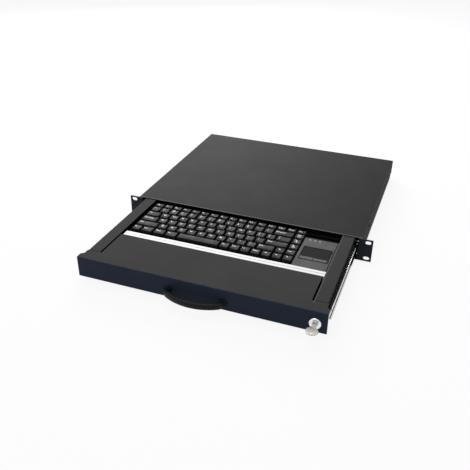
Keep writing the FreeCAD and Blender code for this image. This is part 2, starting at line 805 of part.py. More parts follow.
def build_front_panel():
    """The drawer's face plate, folded back at the bottom into a flange under the tray."""
    body = new_body("front_panel")
    bottom_rear = panel_face + S.bottom_flange
    pad(body, "x", -panel_half, panel_half, polygon(
        (panel_back, drawer_top), (panel_face, drawer_top), (panel_face, panel_bottom),
        (bottom_rear, panel_bottom), (bottom_rear, tray_bottom), (panel_back, tray_bottom)))
    pocket(body, "y", panel_face - OVER, panel_back + OVER, circle(lock_axis, barrel_hole),
           *[small_hole(place, handle_screw_hole) for place in handle_screw_places])
    flange_end, beyond = panel_half - S.bottom_flange_end_inset, panel_half + OVER
    pocket(body, "z", panel_bottom - OVER, tray_bottom + OVER,
           rectangle(flange_end, beyond, panel_back, bottom_rear + OVER),
           rectangle(-beyond, -flange_end, panel_back, bottom_rear + OVER),
           *[small_hole(place, screw_hole) for place in panel_screw_places])
    round_bends(body, "x", [(panel_face, drawer_top), (panel_face, panel_bottom)], S.bend_radius)
    grip = S.panel_sheet + S.tray_sheet + S.screw_tip
    group("panel_screws", [screw(f"panel_screw_{number}", "z", 1, (x, y, panel_bottom), grip)
                           for number, (x, y) in enumerate(panel_screw_places)])


def build_palm_rest():
    """The folded sheet behind the face plate: its front wall, the wide top and the leg behind it."""
    body = new_body("palm_rest")
    sheet = S.palm_sheet
    under = drawer_top - sheet
    flange_rear = panel_face + S.top_flange
    wall_half = tray_inside - S.palm_wall_play
    pad(body, "x", -panel_half, panel_half, rectangle(panel_back, flange_rear, under, drawer_top))
    pad(body, "x", -palm_half, palm_half, polygon(
        (flange_rear - sheet, drawer_top), (flange_rear - sheet, under), (palm_rear - sheet, under),
        (palm_rear - sheet, tray_floor), (palm_rear, tray_floor), (palm_rear, drawer_top)))
    pad(body, "x", -wall_half, wall_half, rectangle(panel_back, palm_wall_back, tray_floor, drawer_top))
    notch = panel_half - S.corner_notch_width
    start = panel_face + S.corner_notch_start
    outside, beyond = panel_half + OVER, flange_rear + OVER
    notches = [polygon((outside * side, start), (notch * side, start + S.corner_notch_width),
                       (notch * side, beyond), (outside * side, beyond)) for side in (-1, 1)]
    pocket(body, "z", under - OVER, drawer_top + OVER, *notches)
    pocket(body, "y", panel_back - OVER, palm_wall_back + OVER, circle(lock_axis, barrel_hole),
           *[small_hole(place, handle_screw_hole) for place in handle_screw_places])
    pocket(body, "y", palm_rear - sheet - OVER, palm_rear + OVER,
           *[small_hole(place, screw_hole) for place in trim_screw_places])
    round_bends(body, "x", [(palm_rear, drawer_top)], S.bend_radius)


def build_trim_strip():
    """The bright extruded strip between the palm rest and the keys, with its fine groove and leg."""
    body = new_body("trim_strip")
    middle = palm_rear + S.trim_width / 2
    groove_front, groove_rear = middle - S.trim_groove_width / 2, middle + S.trim_groove_width / 2
    groove_floor = drawer_top - S.trim_groove_depth
    leg = palm_rear + S.trim_leg_sheet
    leg_end = drawer_top - S.trim_leg
    under = drawer_top - S.trim_sheet
    pad(body, "x", S.trim_left_inset - palm_half, keyboard_half, polygon(
        (palm_rear, leg_end), (leg, leg_end), (leg, under), (trim_rear, under), (trim_rear, drawer_top),
        (groove_rear, drawer_top), (groove_rear, groove_floor), (groove_front, groove_floor),
        (groove_front, drawer_top), (palm_rear, drawer_top)))
    pocket(body, "y", palm_rear - OVER, leg + OVER,
           *[small_hole(place, screw_hole) for place in trim_screw_places])
    grip = S.trim_leg_sheet + S.palm_sheet + S.screw_tip
    group("trim_screws", [screw(f"trim_screw_{number}", "y", -1, (x, leg, z), grip)
                          for number, (x, z) in enumerate(trim_screw_places)])


def bow_path(sketch):
    """The middle line of the bow handle: two legs, two tight bends and the wide bow between them."""
    half, bend, bow = S.handle_span / 2, S.handle_bend, S.handle_bow
    bow_middle = panel_face - S.handle_reach + bow
    apart, across = bow - bend, half - bend
    leg_end = bow_middle - (apart * apart - across * across).root()
    lean = math.acos(across.number / apart.number)
    normal = FreeCAD.Vector(0, 0, 1)

    def arc(centre, radius, start, stop):
        ring = Part.Circle(point(centre), normal, radius.number)
        number = sketch.addGeometry(Part.ArcOfCircle(ring, start, stop), False)
        hold_radius(sketch, number, radius)
        return number

    def leg(side, places):
        number = sketch.addGeometry(Part.LineSegment(*[point((half * side, y)) for y in places]), False)
        sketch.addConstraint(Sketcher.Constraint("Vertical", number))
        return number

    left = leg(-1, (panel_face, leg_end))
    chain = [
        left,
        arc((-across, leg_end), bend, math.pi, math.pi + lean),
        arc((0, bow_middle), bow, math.pi + lean, math.pi * 2 - lean),
        arc((across, leg_end), bend, math.pi * 2 - lean, math.pi * 2),
        leg(1, (leg_end, panel_face)),
    ]
    for before, after in zip(chain, chain[1:]):
        sketch.addConstraint(Sketcher.Constraint("Tangent", before, 2, after, 1))
    hold(sketch, left, 1, (-half, panel_face))
    hold(sketch, chain[-1], 2, (half, panel_face))
    hold(sketch, chain[2], 3, (0, bow_middle))


def build_handle():
    """The fixed bow handle on its two round feet, and the screws that hold it from behind."""
    body = new_body("handle")
    spine = sketch_on(body, "z", -S.handle_drop, [bow_path])
    x, z = handle_screw_places[0]
    thick, tall = S.handle_thick / 2, S.handle_tall / 2
    section = sketch_on(body, "y", panel_face, [
        chamfered(x - thick, x + thick, z - tall, z + tall, S.handle_corner)])
    DOCUMENT.recompute()
    pipe = body.newObject("PartDesign::AdditivePipe", "handle_bow")
    pipe.Profile = section
    pipe.Spine = (spine, [f"Edge{number + 1}" for number in range(len(spine.Geometry))])
    pad(body, "y", panel_face - S.handle_foot_sheet, panel_face,
        *[circle(place, S.handle_foot / 2) for place in handle_screw_places])
    pocket(body, "y", panel_face - S.handle_screw_grip - OVER, panel_face + OVER,
           *[small_hole(place, handle_screw_hole) for place in handle_screw_places])
    grip = S.panel_sheet + S.palm_sheet + S.handle_screw_grip
    group("handle_screws", [
        screw(f"handle_screw_{number}", "y", -1, (x, palm_wall_back, z), grip, S.handle_screw_diameter,
              S.handle_screw_head)
        for number, (x, z) in enumerate(handle_screw_places)])


def build_lock():
    """The cam lock: barrel, nut, turning plug, cam with its screw, and the key."""
    x, z = lock_axis
    barrel = new_body("lock_barrel")
    pad(barrel, "y", lock_front, panel_face, circle(lock_axis, S.lock_head / 2), circle(lock_axis, plug_bore))
    pad(barrel, "y", panel_face, barrel_end,
        circle(lock_axis, S.barrel_diameter / 2), circle(lock_axis, plug_bore))
    nut = new_body("lock_nut")
    pad(nut, "y", palm_wall_back, palm_wall_back + S.nut_height,
        regular(lock_axis, S.barrel_diameter / 2 + S.nut_wall, NUT_SIDES), circle(lock_axis, barrel_hole))
    plug = new_body("lock_plug")
    square = S.cam_square / 2
    shoulder = cam_front - S.lock_play
    pad(plug, "y", lock_front + S.plug_recess, shoulder, circle(lock_axis, S.plug_diameter / 2))
    pad(plug, "y", shoulder, cam_rear, rectangle(x - square, x + square, z - square, z + square))
    wide, thick = S.key_blade_width / 2 + S.lock_play, S.key_sheet / 2 + S.lock_play
    pocket(plug, "y", lock_front, lock_front + S.key_depth + S.plug_recess,
           rectangle(x - wide, x + wide, z - thick, z + thick))
    pocket(plug, "y", cam_rear - S.cam_screw_grip - S.plug_recess, cam_rear + OVER,
           small_hole(lock_axis, screw_hole))
    cam = new_body("lock_cam")
    half = S.cam_width / 2
    hole = square + S.lock_play
    pad(cam, "y", cam_front, cam_rear,
        chamfered(x - cam_reach, x + S.cam_tail, z - half, z + half, S.cam_corner),
        rectangle(x - hole, x + hole, z - hole, z + hole))
    group("cam_screw", [screw("cam_screw_body", "y", -1, (x, cam_rear, z), S.cam_screw_grip,
                              head=S.cam_width)])
    key = new_body("lock_key")
    blade = S.key_blade_width / 2
    neck_end = lock_front - S.key_neck
    bow = (x, neck_end - S.key_bow / 2 + blade / 2)
    low, high = z - S.key_sheet / 2, z + S.key_sheet / 2
    pad(key, "z", low, high, rectangle(x - blade, x + blade, neck_end, lock_front + S.key_depth))
    pad(key, "z", low, high, circle(bow, S.key_bow / 2))
    pocket(key, "z", low - OVER, high + OVER, circle((x, bow[1] - S.key_bow / 4), S.key_bow_hole / 2))


def build_keyboard_mounting():
    """The two hat section brackets that carry the keyboard, and their screws."""
    top, low = keyboard_bottom, tray_floor
    sheet = S.tray_sheet
    half = S.bracket_top / 2
    end = half + S.bracket_foot
    start = keyboard_front + S.bracket_inset
    grip = sheet + S.base_wall - S.screw_play
    screws = []
    for side, name in ((-1, "left"), (1, "right")):
        body = new_body(f"keyboard_bracket_{name}")
        middle = S.bracket_across * side
        right_half = [(half - sheet, top - sheet), (half - sheet, low), (end, low),
                      (end, low + sheet), (half, low + sheet), (half, top)]
        left_half = [(-across, up) for across, up in reversed(right_half)]
        pad(body, "y", start, start + S.bracket_length,
            polygon(*[(middle + across, up) for across, up in right_half + left_half]))
        places = [(middle, y) for y in bracket_screw_places]
        pocket(body, "z", top - sheet - OVER, top + OVER,
               *[small_hole(place, screw_hole) for place in places])
        screws += [screw(f"keyboard_screw_{name}_{number}", "z", 1, (x, y, top - sheet), grip)
                   for number, (x, y) in enumerate(places)]
    group("keyboard_screws", screws)


def build_keyboard_housing():
    """The keyboard's bottom shell, its circuit layers and the top shell with a guide hole for each key."""
    wall = S.base_wall
    front, rear = keyboard_front, keyboard_rear
    whole = rectangle(-keyboard_half, keyboard_half, front, rear)
    base = new_body("keyboard_base")
    pad(base, "z", keyboard_bottom, deck_bottom, whole)
    pocket(base, "z", base_floor, deck_bottom + OVER,
           rectangle(-keyboard_half + wall, keyboard_half - wall, front + wall, rear - wall))
    pocket(base, "z", keyboard_bottom - OVER, base_floor + OVER,
           *[small_hole((S.bracket_across * side, y), screw_hole)
             for side in (-1, 1) for y in bracket_screw_places])
    inside = wall + S.layer_margin
    layers = rectangle(-keyboard_half + inside, key_field_right, front + inside, key_field_rear)
    membrane_top = base_floor + S.membrane_sheet
    pad(new_body("key_membrane"), "z", base_floor, membrane_top, layers)
    pad(new_body("dome_mat"), "z", membrane_top, membrane_top + S.dome_sheet, layers)
    board_front = key_field_rear + S.board_gap
    pad(new_body("controller_board"), "z", base_floor, base_floor + S.board_sheet, rectangle(
        -S.board_length / 2, S.board_length / 2, board_front, board_front + S.board_width))
    deck = new_body("key_deck")
    pad(deck, "z", deck_bottom, deck_top, whole)
    play = S.bezel_play - S.key_gap / 2
    pad(deck, "z", deck_top, bezel_top, polygon(
        (-keyboard_half, front), (key_field_right, front), (key_field_right, key_field_front - play),
        (key_field_left - play, key_field_front - play), (key_field_left - play, key_field_rear + play),
        (keyboard_half, key_field_rear + play), (keyboard_half, rear), (-keyboard_half, rear)))
    half = S.stem_width / 2 + S.stem_play
    for places in key_places().values():
        pocket(deck, "z", deck_bottom - OVER, deck_top + OVER,
               *[rectangle(x - half, x + half, y - half, y + half) for x, y, units in places])


def key_places():
    """The middle of each key and its width in key units, row by row from the rear."""
    rows = {}
    for number, (name, widths) in enumerate(KEY_ROWS.items()):
        middle = function_row_front + S.function_row_pitch / 2
        if number > 0:
            middle = function_row_front - S.key_unit * (number - 0.5)
        passed = 0
        rows[name] = []
        for units in widths:
            rows[name].append((key_field_left + S.key_unit * (passed + units / 2), middle, units))
            passed += units
    return rows


def key_cap(units, pitch):
    """The pattern of one key cap: a hollow tapered shell with a dished top and a guide stem."""
    body = new_body(f"cap_{str(units).replace('.', '_')}_by_{int(pitch.number)}", node=False)
    half = (S.key_unit * units - S.key_gap) / 2
    depth = (pitch - S.key_gap) / 2
    side, front, rear = S.cap_taper_side, S.cap_taper_front, S.cap_taper_rear
    wall = S.cap_wall
    ceiling = cap_top - S.cap_roof - S.dish_depth
    skirt = sketch_on(body, "z", cap_bottom, [rectangle(-half, half, -depth, depth)])
    roof = sketch_on(body, "z", cap_top, [
        rectangle(-half + side, half - side, -depth + front, depth - rear)])
    shell = body.newObject("PartDesign::AdditiveLoft", f"{body.Name}_shell")
    shell.Profile = skirt
    shell.Sections = [roof]
    shell.Ruled = True
    mouth = sketch_on(body, "z", cap_bottom, [
        rectangle(-half + wall, half - wall, -depth + wall, depth - wall)])
    inner = sketch_on(body, "z", ceiling, [rectangle(
        -half + side + wall, half - side - wall, -depth + front + wall, depth - rear - wall)])
    hollow = body.newObject("PartDesign::SubtractiveLoft", f"{body.Name}_hollow")
    hollow.Profile = mouth
    hollow.Sections = [inner]
    hollow.Ruled = True
    CUTS.append(hollow)
    stem = S.stem_width / 2
    pad(body, "z", base_floor + S.stem_end_over_floor, ceiling + S.stem_root,
        rectangle(-stem, stem, -stem, stem))
    if units < WIDEST_DISHED_KEY:
        chord = (half - side - S.dish_margin) * 2
        radius = chord * chord / (S.dish_depth * 8) + S.dish_depth / 2
        pocket(body, "y", -depth - OVER, depth + OVER,
               circle((sized(0), cap_top - S.dish_depth + radius), radius))
    return body


def build_keys():
    """All key caps as copies of one cap for each size, a node for each row and for the named keys."""
    patterns = {}
    for row, places in key_places().items():
        pitch = S.function_row_pitch if row == "keys_function_row" else S.key_unit
        together = []
        for number, (x, y, units) in enumerate(places):
            kind = (units, pitch.number)
            if kind not in patterns:
                patterns[kind] = key_cap(units, pitch)
            copy = copy_of(patterns[kind], f"{row}_{number}", x, y, sized(0))
            alone = KEYS_ON_THEIR_OWN.get((row, number))
            if alone:
                group(alone, [copy])
            else:
                together.append(copy)
        group(row, together)


def build_touchpad():
    """The touchpad: its moulded housing, touch surface, board with switches, and the lenses."""
    front, rear = keyboard_front, keyboard_front + S.pad_housing_depth
    left, right = pad_left, keyboard_half
    wall, roof = S.pad_wall, pad_top - S.pad_wall
    half = S.pad_surface_width / 2 + S.pad_play
    surface_front = front + S.pad_surface_from_front
    surface_rear = surface_front + S.pad_surface_depth
    recess = pad_top - S.pad_surface_recess
    lens_line = rear - S.lens_from_rear
    first_lens = pad_middle - half + S.lens_pitch / 2
    lens_places = [(first_lens + S.lens_pitch * number, lens_line) for number in range(LENSES)]
    housing = new_body("touchpad_housing")
    pad(housing, "z", deck_top, pad_top, rectangle(left, right, front, rear))
    pocket(housing, "z", deck_top - OVER, roof,
           rectangle(left + wall, right - wall, front + wall, rear - wall))
    pocket(housing, "z", recess, pad_top + OVER, rectangle(
        pad_middle - half, pad_middle + half, surface_front - S.pad_play, surface_rear + S.pad_play))
    pocket(housing, "z", roof - OVER, pad_top + OVER,
           rectangle(pad_middle - half, pad_middle + half,
                     button_front - S.pad_play, button_rear + S.pad_play),
           *[small_hole(place, S.lens_diameter / 2 + S.lock_play) for place in lens_places])
    groove = pad_middle + half + S.pad_groove_gap
    pocket(housing, "z", pad_top - S.pad_groove_depth, pad_top + OVER, rectangle(
        groove, groove + S.pad_groove_width, button_front, surface_rear + S.pad_groove_over))
    pad(new_body("touch_surface"), "z", recess, recess + S.pad_surface_sheet, rectangle(
        pad_middle - S.pad_surface_width / 2, pad_middle + S.pad_surface_width / 2,
        surface_front, surface_rear))
    board_front = front + wall + S.pad_board_inset
    pad(new_body("touchpad_board"), "z", deck_top, deck_top + S.board_sheet, rectangle(
        left + wall + S.pad_board_side_gap, right - wall - S.pad_board_side_gap,
        board_front, board_front + S.pad_board_depth))
    group("button_switches", [build_touchpad_button(-1, "left"), build_touchpad_button(1, "right")])
    group("indicator_lenses", [
        small_rod(f"lens_{number}", "z", (x, y, roof), S.pad_wall, S.lens_diameter / 2)
        for number, (x, y) in enumerate(lens_places)])


def build_touchpad_button(side, name):
    """One touchpad button, held under the housing by its lip, and the switch below it."""
    inner = pad_middle + S.pad_button_split / 2 * side
    outer = pad_middle + S.pad_surface_width / 2 * side
    low, high = (outer, inner) if side < 0 else (inner, outer)
    lip_top = pad_top - S.pad_wall - S.pad_button_lip_gap
    lip_bottom = lip_top - S.pad_button_lip_sheet
    button = new_body(f"touchpad_button_{name}")
    pad(button, "z", lip_bottom, pad_top + S.pad_button_proud,
        rectangle(low, high, button_front, button_rear))
    pad(button, "z", lip_bottom, lip_top,
        rectangle(low, high, button_front - S.pad_button_lip, button_rear + S.pad_button_lip))
    middle, line = (inner + outer) / 2, (button_front + button_rear) / 2
    reach = S.switch_width / 2
    board_top = deck_top + S.board_sheet
    return box(f"switch_{name}", (middle - reach, middle + reach), (line - reach, line + reach),
               (board_top, board_top + S.switch_height))


def check_document():
    """Stop if any object failed, any piece is empty or invalid, or any cut took nothing away."""
    DOCUMENT.recompute()
    for item in DOCUMENT.Objects:
        if "Invalid" in item.State or "Error" in item.State:
            raise RuntimeError(f"{item.Name} failed: {item.State}")
    for name, piece in NODES.items():
        if piece.Shape.isNull() or not piece.Shape.isValid():
            raise RuntimeError(f"{name} has no valid shape")
    for cut in CUTS:
        if cut.BaseFeature.Shape.Volume - cut.Shape.Volume < TOUCH:
            raise RuntimeError(f"{cut.Name} cut nothing")


def write_pieces():
    """Write each piece to its own file."""
    os.makedirs("parts", exist_ok=True)
    for name, piece in NODES.items():
        piece.Shape.exportStep(f"parts/{name}.step")


build_chassis_base()
build_chassis_cover()
build_chassis_fasteners()
build_slides()
build_drawer_tray()
build_front_panel()
build_palm_rest()
build_trim_strip()
build_handle()
build_lock()
build_keyboard_mounting()
build_keyboard_housing()
build_keys()
build_touchpad()
check_document()
write_pieces()
print(f"{len(NODES)} pieces written")
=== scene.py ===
"""Finished look of the rack keyboard drawer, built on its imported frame.

Lengths are in metres, in the frame's own axes: X to the right, Y to the rear and Z up. Folded sheet and
mouldings get softened edges and their paint. The key caps with their lettering, the bow handle, the lock,
the screws, the grommet and the slide balls are modelled here and stand for the plain solids of the frame.
"""

import logging
import math
from contextlib import contextmanager
from dataclasses import dataclass, field, replace
from enum import Enum
from functools import reduce
from typing import Callable, Iterator, Sequence

import bmesh
import bpy
from mathutils import Matrix, Vector


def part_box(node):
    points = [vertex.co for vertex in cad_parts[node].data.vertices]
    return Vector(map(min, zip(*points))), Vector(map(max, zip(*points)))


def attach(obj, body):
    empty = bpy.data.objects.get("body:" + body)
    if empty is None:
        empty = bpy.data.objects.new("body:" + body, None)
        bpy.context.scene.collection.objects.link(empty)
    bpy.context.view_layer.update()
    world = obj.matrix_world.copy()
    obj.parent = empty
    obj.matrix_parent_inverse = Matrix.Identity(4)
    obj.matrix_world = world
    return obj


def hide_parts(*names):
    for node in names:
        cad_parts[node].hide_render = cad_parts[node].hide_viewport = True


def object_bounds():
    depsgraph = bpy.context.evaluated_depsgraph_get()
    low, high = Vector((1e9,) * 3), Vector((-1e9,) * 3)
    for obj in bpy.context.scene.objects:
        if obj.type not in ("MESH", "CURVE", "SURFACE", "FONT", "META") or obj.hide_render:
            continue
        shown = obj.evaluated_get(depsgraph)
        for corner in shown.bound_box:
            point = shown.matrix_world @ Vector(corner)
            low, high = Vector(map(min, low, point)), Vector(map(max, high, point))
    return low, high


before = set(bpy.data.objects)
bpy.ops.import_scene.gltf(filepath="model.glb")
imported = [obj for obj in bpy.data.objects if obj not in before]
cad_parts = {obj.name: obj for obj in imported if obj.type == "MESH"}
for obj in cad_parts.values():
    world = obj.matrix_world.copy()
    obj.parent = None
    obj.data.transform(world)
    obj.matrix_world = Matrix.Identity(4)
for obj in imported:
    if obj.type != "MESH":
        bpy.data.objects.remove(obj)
CAD_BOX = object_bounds()

LOG = logging.getLogger("rack_keyboard_drawer")
MM = 0.001
MERGE_DISTANCE = 0.002 * MM
FLAT_ANGLE = math.radians(0.5)
SHARP_ANGLE = math.radians(32)
QUARTER_TURN = math.pi / 2
FACING = 0.9
FILM_EDGE_PARTS = 3
TEXT_STEPS = 2
TONE_RANGE = (0.25, 0.75)
LEAST_ROUGHNESS = 0.02
SLOW_TONE = 0.03
WHITE = (1.0, 1.0, 1.0, 1.0)
FULL_CHANNEL = 255
SRGB_TOE = 0.04045
SRGB_SLOPE = 12.92
SRGB_LIFT = 0.055
SRGB_POWER = 2.4
CHASSIS = "chassis"
CAGES = "ball_cages"
DRAWER = "drawer"
ROTOR = "lock_rotor"
SIDES = ("left", "right")

Obj = bpy.types.Object
Element = bmesh.types.BMVert | bmesh.types.BMEdge | bmesh.types.BMFace
Outlet = bpy.types.NodeSocket
Sockets = dict[str, Outlet]
Feed = Outlet | float | Sequence[float]
Feeds = dict[str | int, Feed]
Colour = tuple[float, float, float, float]
FaceTest = Callable[[Vector, Vector], bool]
PlaceTest = Callable[[Vector], bool]


def srgb(red: int, green: int, blue: int) -> Colour:
    """Turn a colour as a screen shows it into linear light.

    Args:
        red: Red from 0 to 255.
        green: Green from 0 to 255.
        blue: Blue from 0 to 255.

    Returns:
        The colour in linear light, opaque.
    """
    def linear(channel: int) -> float:
        """One channel in linear light."""
        share = channel / FULL_CHANNEL
        if share <= SRGB_TOE:
            return share / SRGB_SLOPE
        return ((share + SRGB_LIFT) / (1 + SRGB_LIFT)) ** SRGB_POWER

    return linear(red), linear(green), linear(blue), 1.0


def grey(level: int) -> Colour:
    """A grey as a screen shows it, in linear light."""
    return srgb(level, level, level)


def shaded(colour: Colour, share: float) -> Colour:
    """A colour made lighter or darker by a share of itself."""
    return tuple(min(channel * share, 1.0) for channel in colour[:3]) + (1.0,)


def deselect_all() -> None:
    """Leave edit mode and let go of everything."""
    if bpy.context.object and bpy.context.object.mode != "OBJECT":
        bpy.ops.object.mode_set(mode="OBJECT")
    bpy.ops.object.select_all(action="DESELECT")


def pick(*objects: Obj) -> None:
    """Select these objects alone, the first of them active."""
    deselect_all()
    for obj in objects:
        obj.select_set(True)
    bpy.context.view_layer.objects.active = objects[0]


@contextmanager
def editing(obj: Obj) -> Iterator[None]:
    """Open a mesh for edit operators with nothing selected, and close it afterwards.

    Args:
        obj: The object whose mesh is shaped.
    """
    pick(obj)
    bpy.ops.object.mode_set(mode="EDIT")
    bpy.ops.mesh.select_mode(type="FACE")
    bpy.ops.mesh.select_all(action="DESELECT")
    yield
    bpy.ops.object.mode_set(mode="OBJECT")


def select_everything() -> None:
    """Select all of the open mesh."""
    bpy.ops.mesh.select_all(action="SELECT")


def select(obj: Obj, kind: str, passes: Callable[[Element], bool]) -> None:
    """Select the faces, edges or vertices of an open mesh that pass a test.

    Args:
        obj: The object in edit mode.
        kind: What is selected: VERT, EDGE or FACE.
        passes: Takes a face, edge or vertex.
    """
    bpy.ops.mesh.select_mode(type=kind)
    bpy.ops.mesh.select_all(action="DESELECT")
    mesh = bmesh.from_edit_mesh(obj.data)
    for element in {"VERT": mesh.verts, "EDGE": mesh.edges, "FACE": mesh.faces}[kind]:
        element.select_set(passes(element))
    mesh.select_flush_mode()
    bmesh.update_edit_mesh(obj.data)


def select_faces(obj: Obj, test: FaceTest) -> None:
    """Select the faces whose centre and normal pass a test."""
    select(obj, "FACE", lambda face: test(face.calc_center_median(), face.normal))


def select_edges(obj: Obj, test: PlaceTest) -> None:
    """Select the edges whose two ends both pass a test."""
    select(obj, "EDGE", lambda edge: all(test(vertex.co) for vertex in edge.verts))


def select_vertices(obj: Obj, test: PlaceTest) -> None:
    """Select the vertices whose place passes a test."""
    select(obj, "VERT", lambda vertex: test(vertex.co))


def extrude(way: Sequence[float]) -> None:
    """Draw what is selected out along a way."""
    bpy.ops.mesh.extrude_region_move(TRANSFORM_OT_translate={"value": way})


def round_edges(obj: Obj, test: PlaceTest, width: float, steps: int) -> None:
    """Round the edges whose two ends pass a test.

    Args:
        obj: The object to round.
        test: Takes the place of an edge's end.
        width: The width of the rounding.
        steps: How many steps it has.
    """
    with editing(obj):
        select_edges(obj, test)
        bpy.ops.mesh.bevel(offset=width, segments=steps, affect="EDGES")


def settle(name: str) -> Obj:
    """Name the object just added and move its place into its mesh.

    Args:
        name: The piece's name.

    Returns:
        The object, at the origin, unturned and unscaled.
    """
    obj = bpy.context.object
    obj.name = obj.data.name = name
    bpy.ops.object.transform_apply(location=True, rotation=True, scale=True)
    return obj


def add_block(name: str, low: Vector, high: Vector) -> Obj:
    """Add a block between two corners.

    Args:
        name: The piece's name.
        low: The lowest corner.
        high: The highest corner.

    Returns:
        The new object.
    """
    deselect_all()
    bpy.ops.mesh.primitive_cube_add(size=1.0, location=(low + high) / 2)
    bpy.context.object.scale = high - low
    return settle(name)


def add_sheet(name: str, middle: Sequence[float], turn: Sequence[float], width: float, depth: float) -> Obj:
    """Add a flat sheet.

    Args:
        name: The piece's name.
        middle: The sheet's middle.
        turn: Its turns about the axes, from lying flat.
        width: Its size along X before it is turned.
        depth: Its size along Y before it is turned.

    Returns:
        The new object.
    """
    deselect_all()
    bpy.ops.mesh.primitive_plane_add(size=1.0, location=middle, rotation=turn)
    bpy.context.object.scale = (width, depth, 1.0)
    return settle(name)


def add_rod(name: str, start: Vector, end: Vector, radius: float, sides: int) -> Obj:
    """Add a closed cylinder from one point to another.

    Args:
        name: The piece's name.
        start: The middle of its first end.
        end: The middle of its other end.
        radius: Its radius.
        sides: How many flats it has round it.

    Returns:
        The new object.
    """
    deselect_all()
    run = end - start
    bpy.ops.mesh.primitive_cylinder_add(
        vertices=sides, radius=radius, depth=run.length, location=(start + end) / 2,
        rotation=run.to_track_quat("Z", "Y").to_euler())
    return settle(name)


def add_text(name: str, words: str, size: float, place: Sequence[float], **settings: object) -> Obj:
    """Print words as a flat mesh.

    Args:
        name: The piece's name.
        words: What is printed.
        size: The size of the letters.
        place: Where the words stand.
        **settings: What else is set on the text.

    Returns:
        The new object.
    """
    deselect_all()
    bpy.ops.object.text_add(location=place)
    text = bpy.context.object.data
    text.body, text.size, text.resolution_u = words, size, TEXT_STEPS
    for setting, value in settings.items():
        setattr(text, setting, value)
    bpy.ops.object.convert(target="MESH")
    return settle(name)


def apply_modifier(obj: Obj, kind: str, **settings: object) -> None:
    """Add a modifier to an object and apply it.

    Args:
        obj: The object that is shaped.
        kind: The modifier's type.
        **settings: What its properties are set to.
    """
    pick(obj)
    modifier = obj.modifiers.new(kind.lower(), kind)
    for setting, value in settings.items():
        setattr(modifier, setting, value)
    bpy.ops.object.modifier_apply(modifier=modifier.name)


def apply_bevel(obj: Obj, width: float, segments: int = 2) -> None:
    """Round an object's sharp edges."""
    apply_modifier(
        obj, "BEVEL", width=width, segments=segments, limit_method="ANGLE", angle_limit=SHARP_ANGLE)


def add_film(name: str, low: Vector, high: Vector) -> Obj:
    """Add a thin film between two corners, with its edges broken.

    Args:
        name: The piece's name.
        low: The lowest corner.
        high: The highest corner.

    Returns:
        The new object.
    """
    obj = add_block(name, low, high)
    apply_bevel(obj, (high.z - low.z) / FILM_EDGE_PARTS, 1)
    return obj


def smooth(obj: Obj, angle: float = SHARP_ANGLE) -> Obj:
    """Shade an object smooth where its faces meet at less than an angle."""
    pick(obj)
    bpy.ops.object.shade_smooth_by_angle(angle=angle)
    return obj


def mend_normals(obj: Obj) -> None:
    """Merge an object's doubled points and turn its faces outwards."""
    with editing(obj):
        select_everything()
        bpy.ops.mesh.remove_doubles(threshold=MERGE_DISTANCE)
        bpy.ops.mesh.normals_make_consistent(inside=False)


def copy_of(obj: Obj, place: Matrix, name: str = "") -> Obj:
    """Copy a pattern with its own mesh.

    Args:
        obj: The pattern.
        place: Where the copy goes, written into its mesh.
        name: The copy's name, where it isn't the pattern's.

    Returns:
        The copy.
    """
    copy = bpy.data.objects.new(name or obj.name, obj.data.copy())
    bpy.context.scene.collection.objects.link(copy)
    copy.data.transform(place)
    return copy


def joined(name: str, objects: Sequence[Obj]) -> Obj:
    """Join objects into one.

    Args:
        name: The name of the joined piece.
        objects: What is joined.

    Returns:
        The one object left.
    """
    pick(*objects)
    if len(objects) > 1:
        bpy.ops.object.join()
    whole = bpy.context.view_layer.objects.active
    whole.name = whole.data.name = name
    return whole


def remove(*objects: Obj) -> None:
    """Take patterns and cutters out of the scene."""
    for obj in objects:
        bpy.data.objects.remove(obj, do_unlink=True)


def softened_copy(node: str, width: float, level: bool) -> Obj:
    """Copy a node of the frame with its sharp edges rounded.

    Args:
        node: The node's name.
        width: The width of the rounding.
        level: Whether the flat faces are shaded level, or lean towards their rounded edges.

    Returns:
        The copy, merged and rounded.
    """
    obj = copy_of(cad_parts[node], Matrix(), f"{node}_finished")
    with editing(obj):
        select_everything()
        bpy.ops.mesh.remove_doubles(threshold=MERGE_DISTANCE)
        bpy.ops.mesh.dissolve_limited(angle_limit=FLAT_ANGLE)
    apply_bevel(obj, width)
    smooth(obj)
    if level:
        apply_modifier(obj, "WEIGHTED_NORMAL", keep_sharp=True)
    return obj


def islands(node: str) -> list[list[Vector]]:
    """Find the separate solids of a node.

    Args:
        node: The node's name.

    Returns:
        The points of each solid, the solids in order from left to right.
    """
    mesh = bmesh.new()
    mesh.from_mesh(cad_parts[node].data)
    bmesh.ops.remove_doubles(mesh, verts=mesh.verts, dist=MERGE_DISTANCE)
    seen: set[bmesh.types.BMVert] = set()
    found: list[list[Vector]] = []
    for start in mesh.verts:
        if start in seen:
            continue
        seen.add(start)
        waiting, points = [start], []
        while waiting:
            here = waiting.pop()
            points.append(here.co.copy())
            beyond = {edge.other_vert(here) for edge in here.link_edges} - seen
            seen |= beyond
            waiting += beyond
        found.append(points)
    mesh.free()
    return sorted(found, key=lambda points: min(point.x for point in points))


def box_of(points: Sequence[Vector]) -> tuple[Vector, Vector]:
    """The lowest and highest corner of a set of points."""
    return tuple(Vector([most(point[axis] for point in points) for axis in range(3)]) for most in (min, max))


